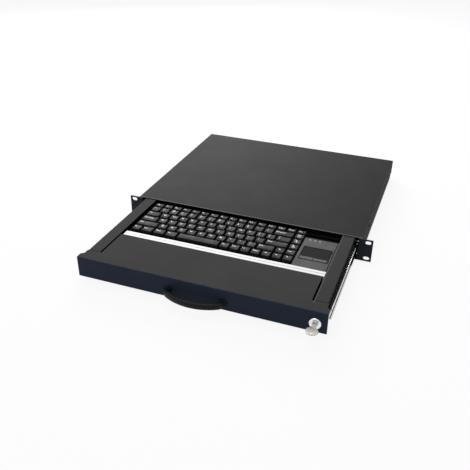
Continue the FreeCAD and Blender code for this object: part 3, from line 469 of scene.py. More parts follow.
class NodeSheet:
    """A node tree with short ways to add nodes and join their sockets."""

    def __init__(self, tree: bpy.types.NodeTree) -> None:
        """Take hold of a tree."""
        self.tree = tree

    def feed(self, target: Outlet, value: Feed) -> None:
        """Link a socket to an input, or set the input to a plain value.

        Args:
            target: The input.
            value: The socket or the value.
        """
        if isinstance(value, Outlet):
            self.tree.links.new(value, target)
        else:
            target.default_value = value

    def add(self, kind: str, inputs: Feeds | None = None, **settings: object) -> bpy.types.Node:
        """Add a node.

        Args:
            kind: The node's type.
            inputs: What its inputs are linked or set to, by name or number.
            **settings: What its own properties are set to.

        Returns:
            The new node.
        """
        node = self.tree.nodes.new(kind)
        for setting, value in settings.items():
            setattr(node, setting, value)
        for socket, value in (inputs or {}).items():
            self.feed(node.inputs[socket], value)
        return node

    def effect(self, effect: "Effect", inputs: dict[str, Feed]) -> Sockets:
        """Place a shared effect with its own values, and give its outputs."""
        return dict(self.add("ShaderNodeGroup", inputs, node_tree=effect.tree()).outputs.items())

    def number(self, operation: str, *values: Feed) -> Outlet:
        """Work a number out of others."""
        return self.add("ShaderNodeMath", dict(enumerate(values)), operation=operation).outputs[0]

    def chain(self, operation: str, *values: Feed) -> Outlet:
        """Work a number out of others, taken one after another."""
        return reduce(lambda one, other: self.number(operation, one, other), values)

    def vector(self, operation: str, *values: Feed) -> Outlet:
        """Work a vector out of others."""
        return self.add("ShaderNodeVectorMath", dict(enumerate(values)), operation=operation).outputs[0]

    def blend(self, share: Feed, under: Feed, over: Feed) -> Outlet:
        """Lay a share of one colour over another."""
        inputs = {"Factor": share, "A": under, "B": over}
        return self.add("ShaderNodeMix", inputs, data_type="RGBA").outputs["Result"]

    def noise(self, place: Outlet, scale: Feed, **inputs: float) -> Outlet:
        """Lay cloudy patches over the surface."""
        named = {name.title(): value for name, value in inputs.items()}
        return self.add("ShaderNodeTexNoise", {"Vector": place, "Scale": scale, **named}).outputs["Fac"]

    def ramp(self, value: Outlet, low: float, high: float, to_low: float = 0.0,
             to_high: float = 1.0) -> Outlet:
        """Spread one range of a number over another range."""
        inputs = {"From Min": low, "From Max": high, "To Min": to_low, "To Max": to_high}
        return self.add("ShaderNodeMapRange", {"Value": value, **inputs}).outputs["Result"]

    def place(self) -> Outlet:
        """Where a point is on the piece."""
        return self.add("ShaderNodeTexCoord").outputs["Object"]

    def normal(self) -> Outlet:
        """The way that the surface faces."""
        return self.add("ShaderNodeNewGeometry").outputs["Normal"]

    def parts(self, vector: Outlet) -> Sockets:
        """A vector's X, Y and Z."""
        return dict(self.add("ShaderNodeSeparateXYZ", {0: vector}).outputs.items())


class Socket(Enum):
    """The kinds of socket that the shared effects have."""

    NUMBER = "NodeSocketFloat"
    COLOUR = "NodeSocketColor"
    VECTOR = "NodeSocketVector"


@dataclass(frozen=True)
class Effect:
    """A surface effect that the finishes share, built once as a node group."""

    name: str
    inputs: dict[str, Socket]
    outputs: dict[str, Socket]
    lay: Callable[[NodeSheet, Sockets], Sockets]

    def tree(self) -> bpy.types.NodeTree:
        """Build the effect's node group, or find it where it is already built.

        Returns:
            The group.
        """
        known = bpy.data.node_groups.get(self.name)
        if known:
            return known
        tree = bpy.data.node_groups.new(self.name, "ShaderNodeTree")
        for way, sockets in {"INPUT": self.inputs, "OUTPUT": self.outputs}.items():
            for name, kind in sockets.items():
                tree.interface.new_socket(name=name, in_out=way, socket_type=kind.value)
        sheet = NodeSheet(tree)
        given = dict(sheet.add("NodeGroupInput").outputs.items())
        sheet.add("NodeGroupOutput", self.lay(sheet, given))
        return tree


def lay_grain(sheet: NodeSheet, given: Sockets) -> Sockets:
    """Fine lumps of a moulded or sprayed surface, as a height, with a slower tone over them.

    Args:
        sheet: The effect's nodes.
        given: Its inputs.

    Returns:
        Its outputs.
    """
    place, scale = sheet.place(), given["Scale"]
    slow_scale = sheet.number("MULTIPLY", scale, SLOW_TONE)
    return {"Height": sheet.noise(place, scale, detail=3.0, roughness=0.55),
            "Tone": sheet.noise(place, slow_scale, detail=4.0, roughness=0.6)}


def lay_lines(sheet: NodeSheet, given: Sockets) -> Sockets:
    """Fine lines along a rolled or brushed metal, with so many per metre on each axis."""
    drawn = sheet.vector("MULTIPLY", sheet.place(), given["Stretch"])
    return {"Height": sheet.noise(drawn, scale=1.0, detail=5.0, roughness=0.7),
            "Tone": sheet.noise(drawn, scale=0.11, detail=3.0, roughness=0.5)}


def lay_drift(sheet: NodeSheet, given: Sockets) -> Sockets:
    """A colour that grows lighter and darker in soft patches."""
    patches = sheet.noise(sheet.place(), given["Scale"], detail=5.0, roughness=0.62, distortion=0.4)
    return {"Colour": sheet.blend(sheet.ramp(patches, low=0.3, high=0.7), given["Dark"], given["Light"])}


def film_effect(name: str, mask: Callable[[NodeSheet], Outlet]) -> Effect:
    """An effect that lays a film over a colour.

    Args:
        name: The effect's name.
        mask: Lays the nodes that say where the film stays.

    Returns:
        The effect: Colour, Film and Amount in, Colour out.
    """
    def lay(sheet: NodeSheet, given: Sockets) -> Sockets:
        """Blend the film over the colour where the mask has it."""
        share = sheet.number("MULTIPLY", mask(sheet), given["Amount"])
        return {"Colour": sheet.blend(share, given["Colour"], given["Film"])}

    inputs = {"Colour": Socket.COLOUR, "Film": Socket.COLOUR, "Amount": Socket.NUMBER}
    return Effect(name, inputs, {"Colour": Socket.COLOUR}, lay)


def where_dust_and_top_light_lie(sheet: NodeSheet) -> Outlet:
    """A mask of what faces up: dust and hand marks, and on the key caps a painted light on their tops.

    Args:
        sheet: The effect's nodes.

    Returns:
        The socket that carries the mask.
    """
    place = sheet.place()
    specks = sheet.noise(place, scale=260.0, detail=8.0, roughness=0.75)
    patches = sheet.noise(place, scale=9.0, detail=3.0, roughness=0.5)
    level = sheet.ramp(sheet.parts(sheet.normal())["Z"], low=0.2, high=0.95)
    return sheet.chain("MULTIPLY", specks, patches, level)


def where_edges_wear_and_catch_light(sheet: NodeSheet) -> Outlet:
    """A mask of rounded edges and bends, which face between the main axes: wear, and a painted highlight
    along them, a painted shade on the touchpad buttons.

    Args:
        sheet: The effect's nodes.

    Returns:
        The socket that carries the mask.
    """
    edge_patches = sheet.noise(sheet.place(), scale=120.0, detail=6.0, roughness=0.7)
    light_and_wear_share = sheet.ramp(edge_patches, low=0.25, high=0.6)
    most = sheet.chain("MAXIMUM", *sheet.parts(sheet.vector("ABSOLUTE", sheet.normal())).values())
    return sheet.number("MULTIPLY", sheet.ramp(most, low=0.97, high=0.8), light_and_wear_share)


def where_sides_take_grease_and_shade(sheet: NodeSheet) -> Outlet:
    """A mask of what faces to the left or right, which is darkened there as painted shade, and on the slides
    as grease and painted shade.

    Args:
        sheet: The effect's nodes.

    Returns:
        The socket that carries the mask.
    """
    smear = sheet.noise(sheet.place(), scale=60.0, detail=5.0, roughness=0.65)
    sideways = sheet.number("ABSOLUTE", sheet.parts(sheet.normal())["X"])
    return sheet.number("MULTIPLY", sideways, sheet.ramp(smear, low=0.2, high=0.55, to_low=0.85))


RELIEF = {"Height": Socket.NUMBER, "Tone": Socket.NUMBER}
GRAIN = Effect("surface_grain", {"Scale": Socket.NUMBER}, RELIEF, lay_grain)
BRUSHED_LINES = Effect("brushed_lines", {"Stretch": Socket.VECTOR}, RELIEF, lay_lines)
DRIFT = Effect("colour_drift", {"Light": Socket.COLOUR, "Dark": Socket.COLOUR, "Scale": Socket.NUMBER},
               {"Colour": Socket.COLOUR}, lay_drift)
# Dust on what faces up; on the key caps it is mostly painted light on their tops.
DUST_AND_TOP_LIGHT = film_effect("dust_and_painted_top_light", where_dust_and_top_light_lie)
# Wear along edges and bends with a painted highlight there, and a painted shade on the touchpad buttons.
WORN_AND_LIT_EDGES = film_effect("worn_and_painted_lit_edges", where_edges_wear_and_catch_light)
# Painted shade on faces to the left and right, together with grease on the slides.
SIDEWAYS_GREASE_AND_SHADE = film_effect("sideways_grease_and_painted_shade", where_sides_take_grease_and_shade)


@dataclass(frozen=True)
class Finish:
    """A surface with a slowly drifting colour and a fine grain."""

    name: str
    slot: str
    colour: Colour
    roughness: float
    specular: float = 0.5
    metallic: float = 0.0
    coat: float = 0.0
    drift: float = 0.12
    drift_scale: float = 14.0
    grain_scale: float = 1400.0
    grain_height: float = 0.03 * MM
    grain_strength: float = 0.35
    roughness_spread: float = 0.12

    def material(self) -> bpy.types.Material:
        """Build the material, or find it where it is already built.

        Returns:
            The material.
        """
        known = bpy.data.materials.get(self.name)
        if known:
            return known
        material = bpy.data.materials.new(self.name)
        material.use_nodes = True
        material.diffuse_color = self.colour
        sheet = NodeSheet(material.node_tree)
        relief = self.relief(sheet)
        smoothest = max(self.roughness - self.roughness_spread, LEAST_ROUGHNESS)
        roughest = min(self.roughness + self.roughness_spread, 1.0)
        bump = sheet.add("ShaderNodeBump", {
            "Strength": self.grain_strength, "Distance": self.grain_height, "Height": relief["Height"]})
        shader = material.node_tree.nodes["Principled BSDF"]
        for socket, value in {
                "Metallic": self.metallic, "Specular IOR Level": self.specular, "Coat Weight": self.coat,
                "Base Color": self.shade(sheet), "Normal": bump.outputs["Normal"],
                "Roughness": sheet.ramp(relief["Tone"], *TONE_RANGE, smoothest, roughest)}.items():
            sheet.feed(shader.inputs[socket], value)
        return material

    def shade(self, sheet: NodeSheet) -> Outlet:
        """The drifting colour."""
        light, dark = shaded(self.colour, 1 + self.drift), shaded(self.colour, 1 - self.drift)
        return sheet.effect(DRIFT, {"Light": light, "Dark": dark, "Scale": self.drift_scale})["Colour"]

    def relief(self, sheet: NodeSheet) -> Sockets:
        """The height and the slow tone of the fine grain."""
        return sheet.effect(GRAIN, {"Scale": self.grain_scale})


@dataclass(frozen=True)
class HandledAndLitCoat(Finish):
    """Paint or plastic with worn edges that carry painted light, dust and painted top light where it faces
    up, and painted shade on its sides.
    """

    # Dust with painted top light, wear with painted edge light, and painted shade on the sides.
    dust_and_top_light: float = 0.12
    dust_and_top_light_colour: Colour = srgb(168, 166, 160)
    wear_and_edge_light: float = 0.3
    wear_and_edge_light_colour: Colour = grey(120)
    side_shade: float = 0.0
    side_shade_colour: Colour = grey(4)

    def fresh_colour(self, sheet: NodeSheet) -> Outlet:
        """The coat's colour before its films are laid over it."""
        return super().shade(sheet)

    def shade(self, sheet: NodeSheet) -> Outlet:
        """The coat's colour with painted shade on its sides and its edges worn and lit, under its dust and
        top light.

        Args:
            sheet: The material's nodes.

        Returns:
            The socket that carries the colour.
        """
        colour = self.fresh_colour(sheet)
        for effect, film, amount in (
                (SIDEWAYS_GREASE_AND_SHADE, self.side_shade_colour, self.side_shade), (WORN_AND_LIT_EDGES, self.wear_and_edge_light_colour, self.wear_and_edge_light),
                (DUST_AND_TOP_LIGHT, self.dust_and_top_light_colour, self.dust_and_top_light)):
            colour = sheet.effect(effect, {"Colour": colour, "Film": film, "Amount": amount})["Colour"]
        return colour


@dataclass(frozen=True)
class BrushedMetal(Finish):
    """Metal with fine drawn lines along one axis."""

    metallic: float = 1.0
    stretch: tuple[float, float, float] = (20.0, 2600.0, 2600.0)

    def relief(self, sheet: NodeSheet) -> Sockets:
        """The height and the slow tone of the drawn lines."""
        return sheet.effect(BRUSHED_LINES, {"Stretch": self.stretch})


@dataclass(frozen=True)
class GreasedShadedMetal(BrushedMetal):
    """Drawn steel with grease and painted shade on the walls of its races."""

    # Sideways faces darkened as grease and painted shade; the line is a painted shadow.
    grease_and_shade: float = 0.9
    grease_and_shade_colour: Colour = srgb(34, 34, 32)
    shadow_line_at: float = 0.0
    shadow_line_width: float = 0.0

    def shade(self, sheet: NodeSheet) -> Outlet:
        """The steel's colour under its grease and painted shade, with a painted shadow line beside a race's
        lip.

        Args:
            sheet: The material's nodes.

        Returns:
            The socket that carries the colour.
        """
        steel = {"Colour": super().shade(sheet), "Film": self.grease_and_shade_colour, "Amount": self.grease_and_shade}
        greased_and_shaded = sheet.effect(SIDEWAYS_GREASE_AND_SHADE, steel)["Colour"]
        if not self.shadow_line_width:
            return greased_and_shaded
        across = sheet.number("ABSOLUTE", sheet.parts(sheet.place())["X"])
        line = sheet.number("COMPARE", across, self.shadow_line_at, self.shadow_line_width / 2)
        return sheet.blend(line, greased_and_shaded, self.grease_and_shade_colour)


class Axis(Enum):
    """The axis that a painted highlight line lies across."""

    X = "X"
    Y = "Y"


@dataclass(frozen=True)
class HighlitEdgeCoat(HandledAndLitCoat):
    """Paint with a painted highlight along one long edge."""

    edge_axis: Axis = Axis.X
    edge_at: float = 0.0
    edge_width: float = 1.4 * MM
    edge_highlight_colour: Colour = grey(110)
    edge_behind: float = -1.0

    def fresh_colour(self, sheet: NodeSheet) -> Outlet:
        """The paint's colour with the painted highlight along its edge.

        Args:
            sheet: The material's nodes.

        Returns:
            The socket that carries the colour.
        """
        parts, half = sheet.parts(sheet.place()), self.edge_width / 2
        edge = sheet.number("COMPARE", parts[self.edge_axis.value], self.edge_at + half, half)
        behind = sheet.number("GREATER_THAN", parts["Y"], self.edge_behind)
        light_and_wear_share = sheet.number("MULTIPLY", edge, behind)
        return sheet.blend(light_and_wear_share, super().fresh_colour(sheet), self.edge_highlight_colour)


@dataclass(frozen=True)
class TracedBoard(HandledAndLitCoat):
    """Solder mask with the copper runs showing through it."""

    trace_colour: Colour = srgb(92, 138, 74)
    trace_scale: float = 260.0
    trace_width: float = 0.06
    run_length: float = 1.6
    run_pitch: float = 0.4
    dark_share: float = 0.8

    def fresh_colour(self, sheet: NodeSheet) -> Outlet:
        """The mask's colour with paler runs of copper under it.

        Args:
            sheet: The material's nodes.

        Returns:
            The socket that carries the colour.
        """
        return sheet.add("ShaderNodeTexBrick", {
            "Vector": sheet.place(), "Color1": self.colour, "Color2": shaded(self.colour, self.dark_share),
            "Mortar": self.trace_colour, "Scale": self.trace_scale, "Mortar Size": self.trace_width,
            "Brick Width": self.run_length, "Row Height": self.run_pitch}).outputs["Color"]


# Cover: painted shade on its side flanges, a painted highlight line along its front edge, and wear with
# painted highlight on its edges.
COVER_PAINT = HighlitEdgeCoat(
    "cover_powder_coat", "chassis_paint", grey(21), 0.7, specular=0.1, drift=0.05, dust_and_top_light=0.04,
    grain_scale=900.0, roughness_spread=0.02, side_shade=1.0, wear_and_edge_light=0.75, wear_and_edge_light_colour=grey(130),
    edge_axis=Axis.Y, edge_at=4.0 * MM, edge_width=1.5 * MM, edge_highlight_colour=grey(104))
# Drawer: painted shade on its side walls, a painted highlight line along the strips' inner edges, and wear
# with painted highlight on its edges.
DRAWER_PAINT = HighlitEdgeCoat(
    "drawer_powder_coat", "drawer_paint", grey(58), 0.82, specular=0.06, drift=0.06, dust_and_top_light=0.06,
    grain_scale=900.0, roughness_spread=0.03, side_shade=1.0, wear_and_edge_light=0.6, wear_and_edge_light_colour=grey(112),
    edge_at=186.4 * MM, edge_highlight_colour=grey(94), edge_behind=-212.0 * MM)
# Panel and chassis: wear with a bluish painted highlight on their edges and bends.
PANEL_PAINT = HandledAndLitCoat(
    "panel_powder_coat", "panel_paint", srgb(35, 44, 60), 0.5, specular=0.09, drift=0.06, dust_and_top_light=0.04,
    grain_scale=900.0, roughness_spread=0.03, wear_and_edge_light=0.32, wear_and_edge_light_colour=srgb(104, 116, 136))
CHASSIS_PAINT = replace(
    PANEL_PAINT, name="chassis_powder_coat", colour=srgb(34, 39, 46), wear_and_edge_light=0.15,
    wear_and_edge_light_colour=srgb(104, 112, 124))
# Slides: grease and painted shade on their sideways faces; the race steel adds a painted shadow line beside
# the lip.
SLIDE_STEEL = GreasedShadedMetal(
    "slide_zinc_steel", "zinc_steel", srgb(250, 252, 251), 0.16, drift=0.03, stretch=(900.0, 20.0, 900.0),
    grain_height=0.004 * MM, grain_strength=0.1, roughness_spread=0.04)
RACE_STEEL = replace(SLIDE_STEEL, name="slide_race_steel", shadow_line_at=212.9 * MM, shadow_line_width=1.2 * MM)
ZINC_PLATE = BrushedMetal(
    "zinc_plated_steel", "zinc_steel", srgb(206, 208, 208), 0.26, drift=0.08, stretch=(900.0, 20.0, 900.0),
    grain_height=0.004 * MM, grain_strength=0.1, roughness_spread=0.06)
BALL_STEEL = Finish(
    "bearing_steel", "ball_steel", srgb(206, 208, 212), 0.12, metallic=1.0, drift=0.04,
    grain_height=0.002 * MM, roughness_spread=0.04)
SCREW_BLACK = Finish(
    "blackened_screw", "black_screw", srgb(18, 18, 20), 0.45, specular=0.15, metallic=0.2, drift=0.2,
    drift_scale=120.0)
TRIM_METAL = BrushedMetal(
    "brushed_trim_aluminium", "trim_aluminium", srgb(248, 250, 249), 0.55, metallic=0.04, specular=0.06,
    drift=0.02, stretch=(14.0, 1500.0, 1500.0), grain_height=0.004 * MM, grain_strength=0.06,
    roughness_spread=0.04)
# A dark film laid as painted shade on the floor of the trim's groove.
TRIM_SHADE = Finish(
    "trim_groove_painted_shade", "trim_aluminium", srgb(96, 100, 96), 0.8, specular=0.1, drift=0.2, drift_scale=90.0)
# Handle: wear with a faint painted highlight on its edges.
HANDLE_PLASTIC = HandledAndLitCoat(
    "handle_black_plastic", "handle_plastic", srgb(16, 20, 25), 0.4, specular=0.13, grain_scale=1800.0,
    dust_and_top_light=0.03, wear_and_edge_light=0.1, wear_and_edge_light_colour=srgb(60, 62, 66))
LOCK_CHROME = Finish(
    "lock_chrome_plate", "lock_chrome", srgb(238, 244, 255), 0.1, metallic=1.0, drift=0.3, drift_scale=230.0,
    grain_height=0.004 * MM, roughness_spread=0.05)
PLUG_STEEL = Finish(
    "lock_plug_steel", "lock_chrome", srgb(214, 221, 236), 0.3, metallic=1.0, drift=0.25, drift_scale=300.0,
    grain_height=0.006 * MM)
KEY_NICKEL = Finish(
    "key_nickel_silver", "key_nickel", srgb(190, 187, 176), 0.34, metallic=0.8, drift=0.2, drift_scale=160.0,
    grain_height=0.01 * MM)
RUBBER = Finish("grommet_black_rubber", "grommet_rubber", grey(20), 0.7, specular=0.2)
HOUSING_PLASTIC = HandledAndLitCoat(
    "keyboard_housing_plastic", "housing_plastic", srgb(8, 8, 9), 0.6, specular=0.06, grain_scale=1900.0,
    dust_and_top_light=0.03, wear_and_edge_light=0.1)
# Key caps: dust_and_top_light here is mostly painted light on their tops, leaving their sides darker.
CAP_PLASTIC = HandledAndLitCoat(
    "key_cap_plastic", "cap_plastic", srgb(14, 14, 16), 0.55, specular=0.08, grain_scale=2400.0, drift=0.08,
    drift_scale=30.0, dust_and_top_light=0.42, dust_and_top_light_colour=srgb(96, 96, 94), wear_and_edge_light=0.05)
CAP_LETTERING = Finish(
    "key_cap_lettering", "cap_plastic", srgb(240, 240, 238), 0.5, specular=0.3, grain_scale=3000.0,
    drift=0.03)
# Touchpad housing: wear with a painted highlight along its edges; buttons: painted shade along their edges.
PAD_PLASTIC = HandledAndLitCoat(
    "touchpad_housing_plastic", "pad_plastic", srgb(80, 81, 80), 0.6, specular=0.09, grain_scale=1900.0,
    dust_and_top_light=0.06, wear_and_edge_light=0.9, wear_and_edge_light_colour=srgb(168, 168, 164))
BUTTON_PLASTIC = HandledAndLitCoat(
    "touchpad_button_plastic", "pad_plastic", srgb(92, 93, 92), 0.55, specular=0.1, grain_scale=1900.0,
    dust_and_top_light=0.06, wear_and_edge_light=1.0, wear_and_edge_light_colour=grey(10))
PAD_SURFACE = Finish(
    "touch_surface_film", "pad_surface", grey(38), 0.75, specular=0.05, grain_scale=3200.0, drift=0.05,
    grain_strength=0.5, roughness_spread=0.04)
# A near black film laid as painted shade along the touchpad's seams, gaps and groove.
PAD_SHADE = Finish(
    "touch_surface_painted_shade", "pad_surface", grey(5), 0.8, specular=0.05, drift=0.2, drift_scale=90.0)
LENS = Finish(
    "indicator_lens", "lens_plastic", srgb(170, 178, 170), 0.18, coat=0.4, drift=0.06, drift_scale=200.0,
    grain_height=0.004 * MM)
MEMBRANE = Finish(
    "membrane_clear_film", "membrane_film", srgb(176, 178, 172), 0.25, grain_height=0.004 * MM)
DOME_RUBBER = Finish("dome_silicone", "dome_rubber", srgb(148, 148, 146), 0.62, specular=0.3)
BOARD = TracedBoard("circuit_board_mask", "circuit_board", srgb(36, 84, 46), 0.36)
SWITCH_PLASTIC = Finish("switch_black_plastic", "switch_plastic", srgb(28, 28, 30), 0.5)


@dataclass(frozen=True)
class Piece:
    """A finished object, the body that it rides on and the nodes that it stands for."""

    obj: Obj
    finish: Finish
    body: str
    stands_for: tuple[str, ...]

    def put_on(self) -> None:
        """Give the object its finish and its place in the frame."""
        self.obj.data.materials.clear()
        self.obj.data.materials.append(self.finish.material())
        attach(self.obj, self.body)
        if self.stands_for:
            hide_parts(*self.stands_for)
        LOG.info("%s rides on %s in %s", self.obj.name, self.body, self.finish.name)


@dataclass
class SubAssembly:
    """A group of pieces that are built together and dressed together."""

    pieces: list[Piece] = field(default_factory=list, init=False)

    def keep(self, obj: Obj, finish: Finish, body: str, *stands_for: str) -> None:
        """Note a built piece, with its finish, its body and the nodes it stands for, for dressing."""
        self.pieces.append(Piece(obj, finish, body, stands_for))

    def soften(self, node: str, finish: Finish, body: str, width: float, level: bool = True) -> None:
        """Stand a copy with rounded edges of a width in for a node."""
        self.keep(softened_copy(node, width, level), finish, body, node)

    def build(self) -> None:
        """Model the pieces."""
        raise NotImplementedError

    def dress(self) -> None:
        """Give every piece its finish and its body."""
        for piece in self.pieces:
            piece.put_on()


@dataclass
class Chassis(SubAssembly):
    """The folded pan with its ears, the cover and the rubber grommet in its rear wall."""

    edge: float = 0.55 * MM
    lip_share: float = 0.36
    bore_share: float = 0.6
    sleeve_share: float = 0.8
    grommet_round: float = 0.5 * MM
    round_steps: int = 3
    grommet_steps: int = 48

    def build(self) -> None:
        """Model the cover, the pan and the grommet."""
        self.soften("chassis_cover", COVER_PAINT, CHASSIS, self.edge)
        self.soften("chassis_base", CHASSIS_PAINT, CHASSIS, self.edge)
        self.keep(self.grommet(), RUBBER, CHASSIS, "cable_grommet")

    def grommet(self) -> Obj:
        """Spin the grommet from its section, a sleeve with a lip at each side of the wall.

        Returns:
            The grommet.
        """
        low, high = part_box("cable_grommet")
        middle, radius = (low + high) / 2, (high.z - low.z) / 2
        bore, sleeve = radius * self.bore_share, radius * self.sleeve_share
        lip = (high.y - low.y) * self.lip_share
        obj = add_sheet("cable_grommet_finished", (middle.x, middle.y, middle.z + (bore + sleeve) / 2),
                        (0.0, QUARTER_TURN, 0.0), sleeve - bore, high.y - low.y)
        top = middle.z + sleeve - MERGE_DISTANCE
        with editing(obj):
            for cut in (low.y + lip, high.y - lip):
                select_everything()
                bpy.ops.mesh.bisect(plane_co=(middle.x, cut, middle.z), plane_no=(0.0, 1.0, 0.0))
            for inner, outer in ((low.y, low.y + lip), (high.y - lip, high.y)):
                select_edges(obj, lambda place: place.z > top
                             and inner - MERGE_DISTANCE < place.y < outer + MERGE_DISTANCE)
                extrude((0.0, 0.0, radius - sleeve))
            select_everything()
            bpy.ops.mesh.region_to_loop()
            bpy.ops.mesh.bevel(offset=self.grommet_round, segments=self.round_steps, affect="VERTICES")
            select_everything()
            bpy.ops.mesh.delete(type="ONLY_FACE")
            select_everything()
            bpy.ops.mesh.spin(steps=self.grommet_steps, angle=math.tau, center=middle, axis=(0.0, 1.0, 0.0))
        mend_normals(obj)
        return smooth(obj)


@dataclass
class DrawerShell(SubAssembly):
    """The tray, its front panel and palm rest, and the bright trim strip behind them."""

    edge: float = 0.5 * MM
    trim_edge: float = 0.2 * MM
    bracket_edge: float = 0.25 * MM
    groove_width: float = 0.9 * MM
    groove_depth: float = 0.5 * MM
    groove_fill: float = 0.12 * MM

    def build(self) -> None:
        """Model the drawer's folded sheets and the trim."""
        self.soften("drawer_tray", DRAWER_PAINT, DRAWER, self.edge)
        self.soften("front_panel", PANEL_PAINT, DRAWER, self.edge)
        self.soften("palm_rest", DRAWER_PAINT, DRAWER, self.edge)
        self.soften("trim_strip", TRIM_METAL, DRAWER, self.trim_edge)
        self.keep(self.groove_line(), TRIM_SHADE, DRAWER)
        for side in SIDES:
            self.soften(f"keyboard_bracket_{side}", ZINC_PLATE, DRAWER, self.bracket_edge)

    def groove_line(self) -> Obj:
        """Lay painted shade along the floor of the trim's groove.

        Returns:
            The thin line of painted shade.
        """
        low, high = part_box("trim_strip")
        middle, half, floor = (low.y + high.y) / 2, self.groove_width / 2, high.z - self.groove_depth
        return add_film("trim_groove_line", Vector((low.x, middle - half, floor)),
                        Vector((high.x, middle + half, floor + self.groove_fill)))


@dataclass
class BallSlides(SubAssembly):
    """The telescopic slides: outer and inner members, ball cages and balls."""

    edge: float = 0.3 * MM
    cage_edge: float = 0.12 * MM
    ball_cuts: int = 5
    ball_smooth: float = math.radians(60)

    def build(self) -> None:
        """Model both slides."""
        for side in SIDES:
            self.soften(f"slide_outer_{side}", SLIDE_STEEL, CHASSIS, self.edge, False)
            self.soften(f"slide_inner_{side}", RACE_STEEL, DRAWER, self.edge, False)
            self.soften(f"ball_cage_{side}", ZINC_PLATE, CAGES, self.cage_edge)
        self.keep(self.balls(), BALL_STEEL, CAGES, "slide_balls")

    def balls(self) -> Obj:
        """Model one ball and copy it to every place in the cages.

        Returns:
            All the balls as one piece.
        """
        boxes = [box_of(points) for points in islands("slide_balls")]
        low, high = boxes[0]
        pattern = add_block("slide_balls_finished", (low - high) / 2, (high - low) / 2)
        with editing(pattern):
            select_everything()
            bpy.ops.mesh.subdivide(number_cuts=self.ball_cuts)
            bpy.ops.transform.tosphere(value=1.0)
        radius = (high.x - low.x) / 2
        reach = max(vertex.co.length for vertex in pattern.data.vertices)
        pattern.data.transform(Matrix.Scale(radius / reach, 4))
        copies = [copy_of(pattern, Matrix.Translation((low + high) / 2)) for low, high in boxes]
        remove(pattern)
        return smooth(joined("slide_balls_finished", copies), self.ball_smooth)


@dataclass(frozen=True)
class ScrewPlace:
    """Where a screw sits: the middle of its seat, the way its head faces and its sizes."""

    seat: Vector
    facing: Vector
    head_radius: float
    head_height: float
    shank_radius: float
    shank_length: float


@dataclass
class Screws(SubAssembly):
    """The pan-head screws with a cross recess."""

    head_sides: int = 28
    shank_sides: int = 14
    crown_share: float = 0.55
    crown_steps: int = 4
    recess_arms: int = 4
    recess_reach: float = 0.52
    recess_width: float = 0.17
    recess_depth: float = 0.6
    core_reach: float = 1.5
    point_share: float = 0.35
    most_side_points: int = 4
    homes: tuple[tuple[str, str], ...] = (
        ("cover_screws", CHASSIS), ("slide_outer_screws", CHASSIS), ("slide_inner_screws", DRAWER),
        ("panel_screws", DRAWER), ("trim_screws", DRAWER), ("handle_screws", DRAWER),
        ("keyboard_screws", DRAWER), ("cam_screw", ROTOR))

    def build(self) -> None:
        """Model the screws of each node."""
        for node, body in self.homes:
            places = [self.place_of(points) for points in islands(node)]
            pattern = self.pattern(places[0])
            copies = [copy_of(pattern, self.turn_to(place)) for place in places]
            remove(pattern)
            finish = ZINC_PLATE if body == ROTOR else SCREW_BLACK
            self.keep(smooth(joined(f"{node}_finished", copies)), finish, body, node)

    def place_of(self, points: list[Vector]) -> ScrewPlace:
        """Read a screw's place from the points of its plain solid.

        Args:
            points: The solid's points.

        Returns:
            The place.
        """
        low, high = box_of(points)
        for axis in range(3):
            ends = [[point for point in points if abs(point[axis] - end[axis]) < MERGE_DISTANCE]
                    for end in (low, high)]
            if min(map(len, ends)) > self.most_side_points:
                break
        middle = (low + high) / 2

        def reach(point: Vector) -> float:
            """How far a point is from the screw's axis."""
            across = point - middle
            across[axis] = 0.0
            return across.length

        widths = [max(map(reach, end)) for end in ends]
        levels = sorted({round(point[axis] / MERGE_DISTANCE) * MERGE_DISTANCE for point in points
                         if reach(point) > sum(widths) / 2})
        head_height = levels[-1] - levels[0]
        head_last = widths[0] <= widths[1]
        facing, seat = Vector(), middle.copy()
        facing[axis] = 1.0 if head_last else -1.0
        seat[axis] = levels[0] if head_last else levels[-1]
        return ScrewPlace(seat, facing, max(widths), head_height, min(widths),
                          high[axis] - low[axis] - head_height)

    def turn_to(self, place: ScrewPlace) -> Matrix:
        """The move that takes the pattern to a place."""
        return Matrix.Translation(place.seat) @ place.facing.to_track_quat("Z", "Y").to_matrix().to_4x4()

    def pattern(self, place: ScrewPlace) -> Obj:
        """Model one screw that stands on the origin with its head up.

        Args:
            place: The sizes to follow.

        Returns:
            The screw.
        """
        top, end = place.head_height, -place.shank_length
        crown, point = top * self.crown_share, place.shank_radius * self.point_share
        head = add_rod("screw_head", Vector(), Vector((0.0, 0.0, top)), place.head_radius, self.head_sides)
        round_edges(head, lambda spot: spot.z > top - MERGE_DISTANCE, crown, self.crown_steps)
        arm, half = place.head_radius * self.recess_reach, place.head_radius * self.recess_width / 2
        cutter = add_block("screw_recess", Vector((-half, -half, top - top * self.recess_depth)),
                           Vector((half, half, top * 2)))
        with editing(cutter):
            for step in range(self.recess_arms):
                turn = step * math.tau / self.recess_arms
                way = Vector((math.cos(turn), math.sin(turn), 0.0))
                select_faces(cutter, lambda centre, normal: normal.dot(way) > FACING
                             and centre.dot(way) < half * self.core_reach)
                extrude(way * (arm - half))
        apply_modifier(head, "BOOLEAN", operation="DIFFERENCE", object=cutter)
        remove(cutter)
        tip = Vector((0.0, 0.0, end))
        shank = add_rod("screw_shank", tip, Vector(), place.shank_radius, self.shank_sides)
        round_edges(shank, lambda spot: spot.z < end + MERGE_DISTANCE, point, 1)
        return joined("screw", [head, shank])


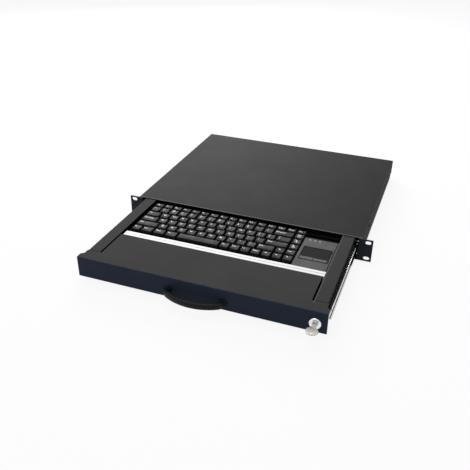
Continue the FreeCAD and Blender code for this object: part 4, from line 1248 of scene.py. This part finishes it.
@dataclass
class BowHandle(SubAssembly):
    """The moulded pull handle: two round feet and a bow between them."""

    span: float = 96.0 * MM
    reach: float = 22.4 * MM
    bow_radius: float = 86.0 * MM
    bend_radius: float = 10.0 * MM
    thick: float = 8.0 * MM
    tall: float = 11.0 * MM
    corner: float = 3.1 * MM
    corner_steps: int = 5
    foot_radius: float = 7.5 * MM
    foot_height: float = 3.0 * MM
    foot_round: float = 1.0 * MM
    foot_steps: int = 3
    foot_sides: int = 40
    bend_steps: int = 10
    bow_steps: int = 22

    def build(self) -> None:
        """Model the bow and its feet as one moulding."""
        low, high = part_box("handle")
        face, height = high.y, (low.z + high.z) / 2
        bow = self.bow(face, height)
        feet = [self.foot(Vector((side * self.span / 2, face, height))) for side in (-1, 1)]
        self.keep(smooth(joined("handle_finished", [bow, *feet])), HANDLE_PLASTIC, DRAWER, "handle")

    def bow(self, face: float, height: float) -> Obj:
        """Draw the bow along its path from one foot to the other.

        Args:
            face: Where the panel's face is, along Y.
            height: The height of the bow's middle line.

        Returns:
            The bow.
        """
        half = self.span / 2
        across, gap = half - self.bend_radius, self.bow_radius - self.bend_radius
        bow_middle = Vector((0.0, face - self.reach + self.bow_radius, height))
        bend_line = bow_middle.y - math.sqrt(gap ** 2 - across ** 2)
        turn = QUARTER_TURN - math.asin(across / gap)
        bends = ((Vector((-across, bend_line, height)), turn, self.bend_steps),
                 (bow_middle, math.pi - 2 * turn, self.bow_steps),
                 (Vector((across, bend_line, height)), turn, self.bend_steps))
        obj = add_sheet("handle_bow", (-half, face, height), (QUARTER_TURN, 0.0, 0.0), self.thick, self.tall)
        with editing(obj):
            select_everything()
            bpy.ops.mesh.bevel(offset=self.corner, segments=self.corner_steps, affect="VERTICES")
            select_everything()
            bpy.ops.mesh.delete(type="ONLY_FACE")
            bpy.ops.mesh.select_mode(type="EDGE")
            select_everything()
            extrude((0.0, bend_line - face, 0.0))
            for centre, angle, steps in bends:
                bpy.ops.mesh.spin(steps=steps, angle=-angle, center=centre, axis=(0.0, 0.0, 1.0))
            extrude((0.0, face - bend_line, 0.0))
            bpy.ops.mesh.select_all(action="DESELECT")
            bpy.ops.mesh.select_non_manifold()
            bpy.ops.mesh.edge_face_add()
        mend_normals(obj)
        return obj

    def foot(self, seat: Vector) -> Obj:
        """Model a round foot against the panel.

        Args:
            seat: The middle of the foot's seat.

        Returns:
            The foot.
        """
        front = seat - Vector((0.0, self.foot_height, 0.0))
        obj = add_rod("handle_foot", seat, front, self.foot_radius, self.foot_sides)
        round_edges(obj, lambda spot: spot.y < front.y + MERGE_DISTANCE, self.foot_round, self.foot_steps)
        return obj


@dataclass
class CamLock(SubAssembly):
    """The cam lock at the panel's right end: turned barrel, plug, nut, cam and key."""

    key_body: str = "lock_key"
    sides: int = 56
    rim_round: float = 1.3 * MM
    rim_steps: int = 4
    rim_width: float = 1.9 * MM
    face_dish: float = 0.5 * MM
    face_ring: float = 0.9 * MM
    thread_pitch: float = 1.0 * MM
    thread_depth: float = 0.06
    barrel_radius: float = 7.0 * MM
    bore_radius: float = 5.1 * MM
    plug_edge: float = 0.3 * MM
    key_edge: float = 0.45 * MM
    nut_edge: float = 0.4 * MM

    def build(self) -> None:
        """Model the lock's pieces."""
        self.keep(self.barrel(), LOCK_CHROME, DRAWER, "lock_barrel")
        self.soften("lock_plug", PLUG_STEEL, ROTOR, self.plug_edge)
        self.soften("lock_nut", ZINC_PLATE, DRAWER, self.nut_edge)
        self.soften("lock_cam", ZINC_PLATE, ROTOR, self.nut_edge)
        self.soften("lock_key", KEY_NICKEL, self.key_body, self.key_edge)

    def barrel(self) -> Obj:
        """Turn the barrel: a rounded head with a dished face, and a threaded body behind it.

        Returns:
            The barrel.
        """
        low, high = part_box("lock_barrel")
        middle, radius = (low + high) / 2, (high.x - low.x) / 2
        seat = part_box("front_panel")[0].y
        front, rear = Vector((middle.x, low.y, middle.z)), Vector((middle.x, seat, middle.z))
        turns = round((high.y - seat) / self.thread_pitch)
        step = (high.y - seat) / turns / 2
        root = 1 - self.thread_depth

        def in_middle(centre: Vector, facing: float) -> bool:
            """Whether a face is the middle one of an end that faces a way."""
            return facing > FACING and (centre - middle).xz.length < MERGE_DISTANCE

        obj = add_rod("lock_barrel_finished", front, rear, radius, self.sides)
        round_edges(obj, lambda spot: spot.y < front.y + MERGE_DISTANCE, self.rim_round, self.rim_steps)
        with editing(obj):
            select_faces(obj, lambda centre, normal: in_middle(centre, -normal.y))
            bpy.ops.mesh.inset(thickness=self.rim_width - self.rim_round)
            bpy.ops.mesh.inset(thickness=self.face_ring, depth=-self.face_dish)
            bpy.ops.mesh.inset(thickness=radius - self.rim_width - self.face_ring - self.bore_radius)
            select_faces(obj, lambda centre, normal: in_middle(centre, normal.y))
            bpy.ops.mesh.inset(thickness=radius - self.barrel_radius)
            for share in (root, 1 / root) * turns:
                extrude((0.0, step, 0.0))
                bpy.ops.transform.resize(value=(share, 1.0, share), center_override=middle)
            bpy.ops.mesh.inset(thickness=self.barrel_radius - self.bore_radius)
            select_faces(obj, lambda centre, normal: in_middle(centre, abs(normal.y)))
            bpy.ops.mesh.delete(type="FACE")
            bpy.ops.mesh.select_mode(type="EDGE")
            bpy.ops.mesh.select_non_manifold()
            bpy.ops.mesh.bridge_edge_loops()
        mend_normals(obj)
        return smooth(obj)


class Arrow(Enum):
    """The ways that an arrow key's mark points, as turns from the rear."""

    UP = 0.0
    LEFT = QUARTER_TURN
    DOWN = math.pi
    RIGHT = -QUARTER_TURN


Mark = str | Arrow


@dataclass(frozen=True)
class Lettering:
    """How a kind of mark is printed: its size, and how far in from the top's left and rear edges."""

    size: float
    from_left: float
    from_rear: float


LETTER = Lettering(6.4 * MM, 3.2 * MM, 2.0 * MM)
PAIR = Lettering(5.0 * MM, 3.0 * MM, 0.7 * MM)
WORD = Lettering(4.2 * MM, 1.3 * MM, 2.6 * MM)

KEY_MARKS: dict[str, tuple[Mark, ...]] = {
    "keys_function_row": ("Esc", *(f"F{number}" for number in range(1, 13)), "Print", "Pause", "Del"),
    "keys_number_row": ("~\n`", "!\n1", "@\n2", "#\n3", "$\n4", "%\n5", "^\n6", "&\n7", "*\n8", "(\n9",
                        ")\n0", "_\n-", "+\n=", "Ho\nme"),
    "backspace_key": ("Backspace",),
    "keys_upper_row": (*"QWERTYUIOP", "{\n[", "}\n]", "|\n\\", "Pg\nUp"),
    "tab_key": ("Tab",),
    "keys_home_row": (*"ASDFGHJKL", ":\n;", "\"\n'", "Pg\nDn"),
    "caps_lock_key": ("Caps Lock",),
    "enter_key": ("Enter",),
    "keys_lower_row": (*"ZXCVBNM", "<\n,", ">\n.", "?\n/", Arrow.UP, "End"),
    "left_shift_key": ("Shift",),
    "right_shift_key": ("Shift",),
    "keys_bottom_row": ("Fn", "Ctrl", "Menu", "Alt", "Alt", "Ctrl", "Ins", "Num", Arrow.LEFT, Arrow.DOWN,
                        Arrow.RIGHT),
    "space_bar": ("",),
}


@dataclass
class KeyField(SubAssembly):
    """The key caps with their dished tops and printed marks."""

    cap_height: float = 7.9 * MM
    taper_side: float = 1.9 * MM
    taper_front: float = 2.6 * MM
    taper_rear: float = 1.2 * MM
    dish: float = 0.55 * MM
    dish_cuts: int = 6
    widest_dished: float = 60.0 * MM
    crown_share: float = 0.4
    crown_power: int = 8
    edge: float = 0.75 * MM
    edge_steps: int = 3
    wall: float = 1.2 * MM
    roof: float = 1.6 * MM
    hollow_share: float = 0.84
    stem: float = 2.7 * MM
    stem_edge: float = 0.3 * MM
    mark_weight: float = 0.12 * MM
    line_gap: float = 0.95
    arrow_radius: float = 2.3 * MM
    arrow_corners: int = 3
    mark_over: float = 0.05 * MM
    patterns: dict[tuple[int, int], Obj] = field(default_factory=dict, init=False)

    def build(self) -> None:
        """Model the caps and marks of every key node."""
        for node, marks in KEY_MARKS.items():
            caps, prints = [], []
            for points, mark in zip(islands(node), marks, strict=True):
                low, high = box_of(points)
                low.z, end = high.z - self.cap_height, low.z
                caps.append(self.cap(low, high, end))
                if mark:
                    prints.append(self.print_mark(mark, low, high))
            self.keep(smooth(joined(f"{node}_caps", caps)), CAP_PLASTIC, node, node)
            if prints:
                self.keep(joined(f"{node}_marks", prints), CAP_LETTERING, node)
        remove(*self.patterns.values())

    def sag(self, across: float, half: float) -> float:
        """How far the top lies below its rim: a dish, or a low crown on the widest cap.

        Args:
            across: The distance from the cap's middle along X.
            half: Half the width of the top.

        Returns:
            The depth there.
        """
        if half * 2 > self.widest_dished:
            return -self.dish * (1 - min(abs(across) / half, 1.0) ** self.crown_power) * self.crown_share
        return self.dish * max(1 - (across / half) ** 2, 0.0)

    def cap(self, low: Vector, high: Vector, end: float) -> Obj:
        """Copy the cap of a size to its place, modelled when it is first needed.

        Args:
            low: The lowest corner of its skirt.
            high: The highest corner of its top.
            end: The height of its stem's end.

        Returns:
            The cap in its place.
        """
        size, middle = high - low, (low + high) / 2
        kind = (round(size.x / MERGE_DISTANCE), round(size.y / MERGE_DISTANCE))
        if kind not in self.patterns:
            self.patterns[kind] = self.pattern(size, low.z - end)
        return copy_of(self.patterns[kind], Matrix.Translation((middle.x, middle.y, low.z)))

    def pattern(self, size: Vector, stem_length: float) -> Obj:
        """Model one cap that stands over the origin.

        Args:
            size: The size of its skirt and its height.
            stem_length: How far its stem reaches below the skirt.

        Returns:
            The cap.
        """
        half, above = size / 2, (0.0, 0.0, size.z)
        top_half, top_depth = half.x - self.taper_side, size.y - self.taper_front - self.taper_rear
        places = [top_half * (2 * step / (self.dish_cuts + 1) - 1) for step in range(1, self.dish_cuts + 1)]
        obj = add_block("key_cap", Vector((-half.x, -half.y, 0.0)), Vector((half.x, half.y, size.z)))
        with editing(obj):
            select_faces(obj, lambda centre, normal: normal.z > FACING)
            bpy.ops.transform.resize(
                value=(top_half / half.x, top_depth / size.y, 1.0), center_override=above)
            bpy.ops.transform.translate(value=(0.0, (self.taper_front - self.taper_rear) / 2, 0.0))
            for place in places:
                select_everything()
                bpy.ops.mesh.bisect(plane_co=(place, 0.0, 0.0), plane_no=(1.0, 0.0, 0.0))
            for place in places:
                select_vertices(obj, lambda spot: spot.z > size.z - MERGE_DISTANCE - self.dish
                                and abs(spot.x - place) < MERGE_DISTANCE)
                bpy.ops.transform.translate(value=(0.0, 0.0, -self.sag(place, top_half)))
        apply_bevel(obj, self.edge, self.edge_steps)
        with editing(obj):
            select_faces(obj, lambda centre, normal: normal.z < -FACING and centre.z < self.edge)
            bpy.ops.mesh.dissolve_faces()
            bpy.ops.mesh.inset(thickness=self.wall)
            extrude((0.0, 0.0, size.z - self.roof))
            narrowing = (top_half - self.wall) / (half.x - self.wall)
            bpy.ops.transform.resize(value=(narrowing, self.hollow_share, 1.0), center_override=above)
        stem = add_block("key_stem", Vector((-self.stem, -self.stem, -stem_length)),
                         Vector((self.stem, self.stem, size.z - self.roof)))
        apply_bevel(stem, self.stem_edge, 1)
        return joined("key_cap", [obj, stem])

    def print_mark(self, mark: Mark, low: Vector, high: Vector) -> Obj:
        """Print a key's mark at the rear left of its top.

        Args:
            mark: The words, letters or arrow.
            low: The lowest corner of the key's skirt.
            high: The highest corner of the key's top.

        Returns:
            The mark, lying on the dished top.
        """
        style = self.lettering(mark)
        left = low.x + self.taper_side + style.from_left
        rear = high.y - self.taper_rear - style.from_rear
        if isinstance(mark, Arrow):
            deselect_all()
            bpy.ops.mesh.primitive_circle_add(
                vertices=self.arrow_corners, radius=self.arrow_radius, fill_type="NGON",
                location=(left + self.arrow_radius, rear - self.arrow_radius, 0.0),
                rotation=(0.0, 0.0, mark.value))
            obj = settle("key_mark")
        else:
            obj = add_text("key_mark", mark, style.size, (left, rear, 0.0), align_y="TOP",
                           space_line=self.line_gap, offset=self.mark_weight)
        middle, half = (low.x + high.x) / 2, (high.x - low.x) / 2 - self.taper_side
        for vertex in obj.data.vertices:
            vertex.co.z = high.z - self.sag(vertex.co.x - middle, half) + self.mark_over
        return obj

    def lettering(self, mark: Mark) -> Lettering:
        """The lettering of a mark: one letter or arrow, two lines, or a word."""
        if isinstance(mark, Arrow) or len(mark) == 1:
            return LETTER
        return PAIR if "\n" in mark else WORD


@dataclass
class KeyboardShell(SubAssembly):
    """The keyboard's base and the guide deck with its raised bezel."""

    edge: float = 0.5 * MM
    deck_edge: float = 0.25 * MM

    def build(self) -> None:
        """Model the two halves of the shell."""
        self.soften("keyboard_base", HOUSING_PLASTIC, DRAWER, self.edge)
        self.soften("key_deck", HOUSING_PLASTIC, DRAWER, self.deck_edge)


@dataclass
class Touchpad(SubAssembly):
    """The touchpad beside the keys: housing, buttons, touch surface and indicators."""

    edge: float = 0.8 * MM
    surface_edge: float = 0.25 * MM
    button_edge: float = 0.7 * MM
    lens_edge: float = 0.25 * MM
    groove_gap: float = 1.9 * MM
    groove_width: float = 0.9 * MM
    groove_depth: float = 0.6 * MM
    groove_over: float = 8.0 * MM
    shadow_line_width: float = 1.4 * MM
    line_sheet: float = 0.06 * MM
    mark_size: float = 3.0 * MM
    mark_gap: float = 3.2 * MM
    mark_over: float = 0.04 * MM
    marks: tuple[str, ...] = ("1", "A", "S")

    def build(self) -> None:
        """Model the touchpad's visible pieces."""
        self.soften("touchpad_housing", PAD_PLASTIC, DRAWER, self.edge)
        self.soften("touch_surface", PAD_SURFACE, DRAWER, self.surface_edge)
        for side in SIDES:
            name = f"touchpad_button_{side}"
            self.soften(name, BUTTON_PLASTIC, name, self.button_edge)
        self.soften("indicator_lenses", LENS, DRAWER, self.lens_edge)
        self.keep(self.indicator_marks(), CAP_LETTERING, DRAWER)
        self.keep(self.painted_shade_lines(), PAD_SHADE, DRAWER)

    def painted_shade_lines(self) -> Obj:
        """Lay painted shade in the groove, along the seam at the right and round the touch surface and
        buttons.

        Returns:
            The thin lines of painted shade as one piece.
        """
        pad_low, pad_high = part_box("touch_surface")
        left_low, left_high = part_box("touchpad_button_left")
        right_low, right_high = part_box("touchpad_button_right")
        shell_low, shell_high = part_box("touchpad_housing")
        top, line = shell_high.z, self.shadow_line_width
        groove = pad_high.x + self.groove_gap
        lines = [
            (groove, groove + self.groove_width, left_low.y, pad_high.y + self.groove_over,
             top - self.groove_depth),
            (shell_high.x - line - self.edge, shell_high.x - self.edge, shell_low.y + self.edge,
             shell_high.y - self.edge, top),
            (pad_low.x - line / 2, pad_high.x + line / 2, pad_high.y, pad_high.y + line, top),
            (pad_low.x - line, pad_low.x, pad_low.y, pad_high.y, top),
            (pad_high.x, pad_high.x + line, right_low.y, pad_high.y, top),
            (left_low.x - line, right_high.x + line, left_low.y - line, left_low.y, top),
            (left_low.x - line, left_low.x, left_low.y, left_high.y, top),
        ]
        films = [add_film("touchpad_shade_line", Vector((west, south, floor)),
                          Vector((east, north, floor + self.line_sheet)))
                 for west, east, south, north, floor in lines]
        return joined("touchpad_shade_lines", films)

    def indicator_marks(self) -> Obj:
        """Print a small mark in front of each indicator.

        Returns:
            The marks as one piece.
        """
        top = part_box("touchpad_housing")[1].z + self.mark_over
        prints = []
        for points, mark in zip(islands("indicator_lenses"), self.marks, strict=True):
            low, high = box_of(points)
            place = ((low.x + high.x) / 2, low.y - self.mark_gap, top)
            prints.append(add_text("indicator_mark", mark, self.mark_size, place, align_x="CENTER"))
        return joined("indicator_marks", prints)


PLAIN_NODES: dict[str, Finish] = {
    "key_membrane": MEMBRANE,
    "dome_mat": DOME_RUBBER,
    "controller_board": BOARD,
    "touchpad_board": BOARD,
    "button_switches": SWITCH_PLASTIC,
}


def dress_plain_nodes() -> None:
    """Give the frame's own nodes that still show their finishes."""
    for node, finish in PLAIN_NODES.items():
        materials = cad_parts[node].data.materials
        materials.clear()
        materials.append(finish.material())
        LOG.info("%s keeps its shape in %s", node, finish.name)


@dataclass(frozen=True)
class SoftBox:
    """A soft studio lamp that looks at a point."""

    name: str
    place: tuple[float, float, float]
    target: tuple[float, float, float]
    width: float
    depth: float
    watts: float

    def hang(self) -> None:
        """Add the lamp to the scene."""
        lamp = bpy.data.lights.new(self.name, "AREA")
        lamp.shape = "RECTANGLE"
        lamp.size, lamp.size_y, lamp.energy = self.width, self.depth, self.watts
        obj = bpy.data.objects.new(self.name, lamp)
        obj.location = self.place
        obj.rotation_euler = (Vector(self.target) - Vector(self.place)).to_track_quat("-Z", "Y").to_euler()
        bpy.context.scene.collection.objects.link(obj)


@dataclass
class Studio:
    """The pale floor, the white surroundings, the lamps and the camera."""

    floor_size: float = 8.0
    floor_white: float = 0.9
    world_light: float = 0.4
    white_rays: tuple[str, ...] = ("Camera", "Glossy", "Transmission")
    camera_place: tuple[float, float, float] = (0.33051, -0.94749, 0.56870)
    camera_turn: tuple[float, float, float] = (59.6911, -0.6654, 20.6045)
    lens: float = 46.6313
    sensor: float = 36.0
    lamps: tuple[SoftBox, ...] = (
        SoftBox("rear_left_softbox", (-1.05, 1.75, 0.95), (-0.1, 0.15, 0.0), 1.5, 0.9, 42.0),
        SoftBox("overhead_softbox", (-0.4, 0.3, 1.6), (0.0, 0.05, 0.0), 1.2, 0.9, 8.0),
    )

    def build(self) -> None:
        """Set up the studio."""
        self.floor()
        self.world()
        for lamp in self.lamps:
            lamp.hang()
        self.camera()
        bpy.context.scene.view_settings.view_transform = "Standard"

    def seen(self, sheet: NodeSheet) -> Outlet:
        """A mask of the rays that should see plain white."""
        path = sheet.add("ShaderNodeLightPath").outputs
        return sheet.chain("MAXIMUM", *(path[f"Is {ray} Ray"] for ray in self.white_rays))

    def floor(self) -> None:
        """Lay a pale floor that keeps a soft shadow."""
        middle, size = (0.0, 0.0, CAD_BOX[0].z), self.floor_size
        obj = add_sheet("studio_floor", middle, (0.0, 0.0, 0.0), size, size)
        material = bpy.data.materials.new("studio_floor_paper")
        material.use_nodes = True
        material.node_tree.nodes.clear()
        sheet = NodeSheet(material.node_tree)
        paper = sheet.add("ShaderNodeBsdfDiffuse", {"Color": WHITE})
        glow = sheet.add("ShaderNodeEmission", {"Color": WHITE, "Strength": 1.0})
        share = sheet.number("MULTIPLY", self.seen(sheet), self.floor_white)
        blend = sheet.add("ShaderNodeMixShader", {"Fac": share, 1: paper.outputs[0], 2: glow.outputs[0]})
        sheet.add("ShaderNodeOutputMaterial", {"Surface": blend.outputs[0]})
        obj.data.materials.append(material)

    def world(self) -> None:
        """Surround the object with white that lights it at a plain level."""
        world = bpy.data.worlds.new("studio_white")
        world.use_nodes = True
        bpy.context.scene.world = world
        sheet = NodeSheet(world.node_tree)
        background = world.node_tree.nodes["Background"]
        sheet.feed(background.inputs["Color"], WHITE)
        strength = sheet.ramp(self.seen(sheet), 0.0, 1.0, to_low=self.world_light)
        sheet.feed(background.inputs["Strength"], strength)

    def camera(self) -> None:
        """Stand the camera where the photograph was taken from."""
        camera = bpy.data.cameras.new("studio_camera")
        camera.lens, camera.sensor_width = self.lens, self.sensor
        obj = bpy.data.objects.new("studio_camera", camera)
        obj.location = self.camera_place
        obj.rotation_euler = [math.radians(turn) for turn in self.camera_turn]
        bpy.context.scene.collection.objects.link(obj)
        bpy.context.scene.camera = obj


def main() -> None:
    """Build every sub-assembly, dress it, and set it in the studio."""
    logging.basicConfig(level=logging.INFO, format="%(name)s: %(message)s")
    assemblies: list[SubAssembly] = [
        Chassis(), DrawerShell(), BallSlides(), Screws(), BowHandle(), CamLock(), KeyboardShell(),
        KeyField(), Touchpad()]
    for assembly in assemblies:
        assembly.build()
        assembly.dress()
        LOG.info("%s: %d pieces", type(assembly).__name__, len(assembly.pieces))
    dress_plain_nodes()
    Studio().build()
    deselect_all()


if __name__ == "__main__":
    main()
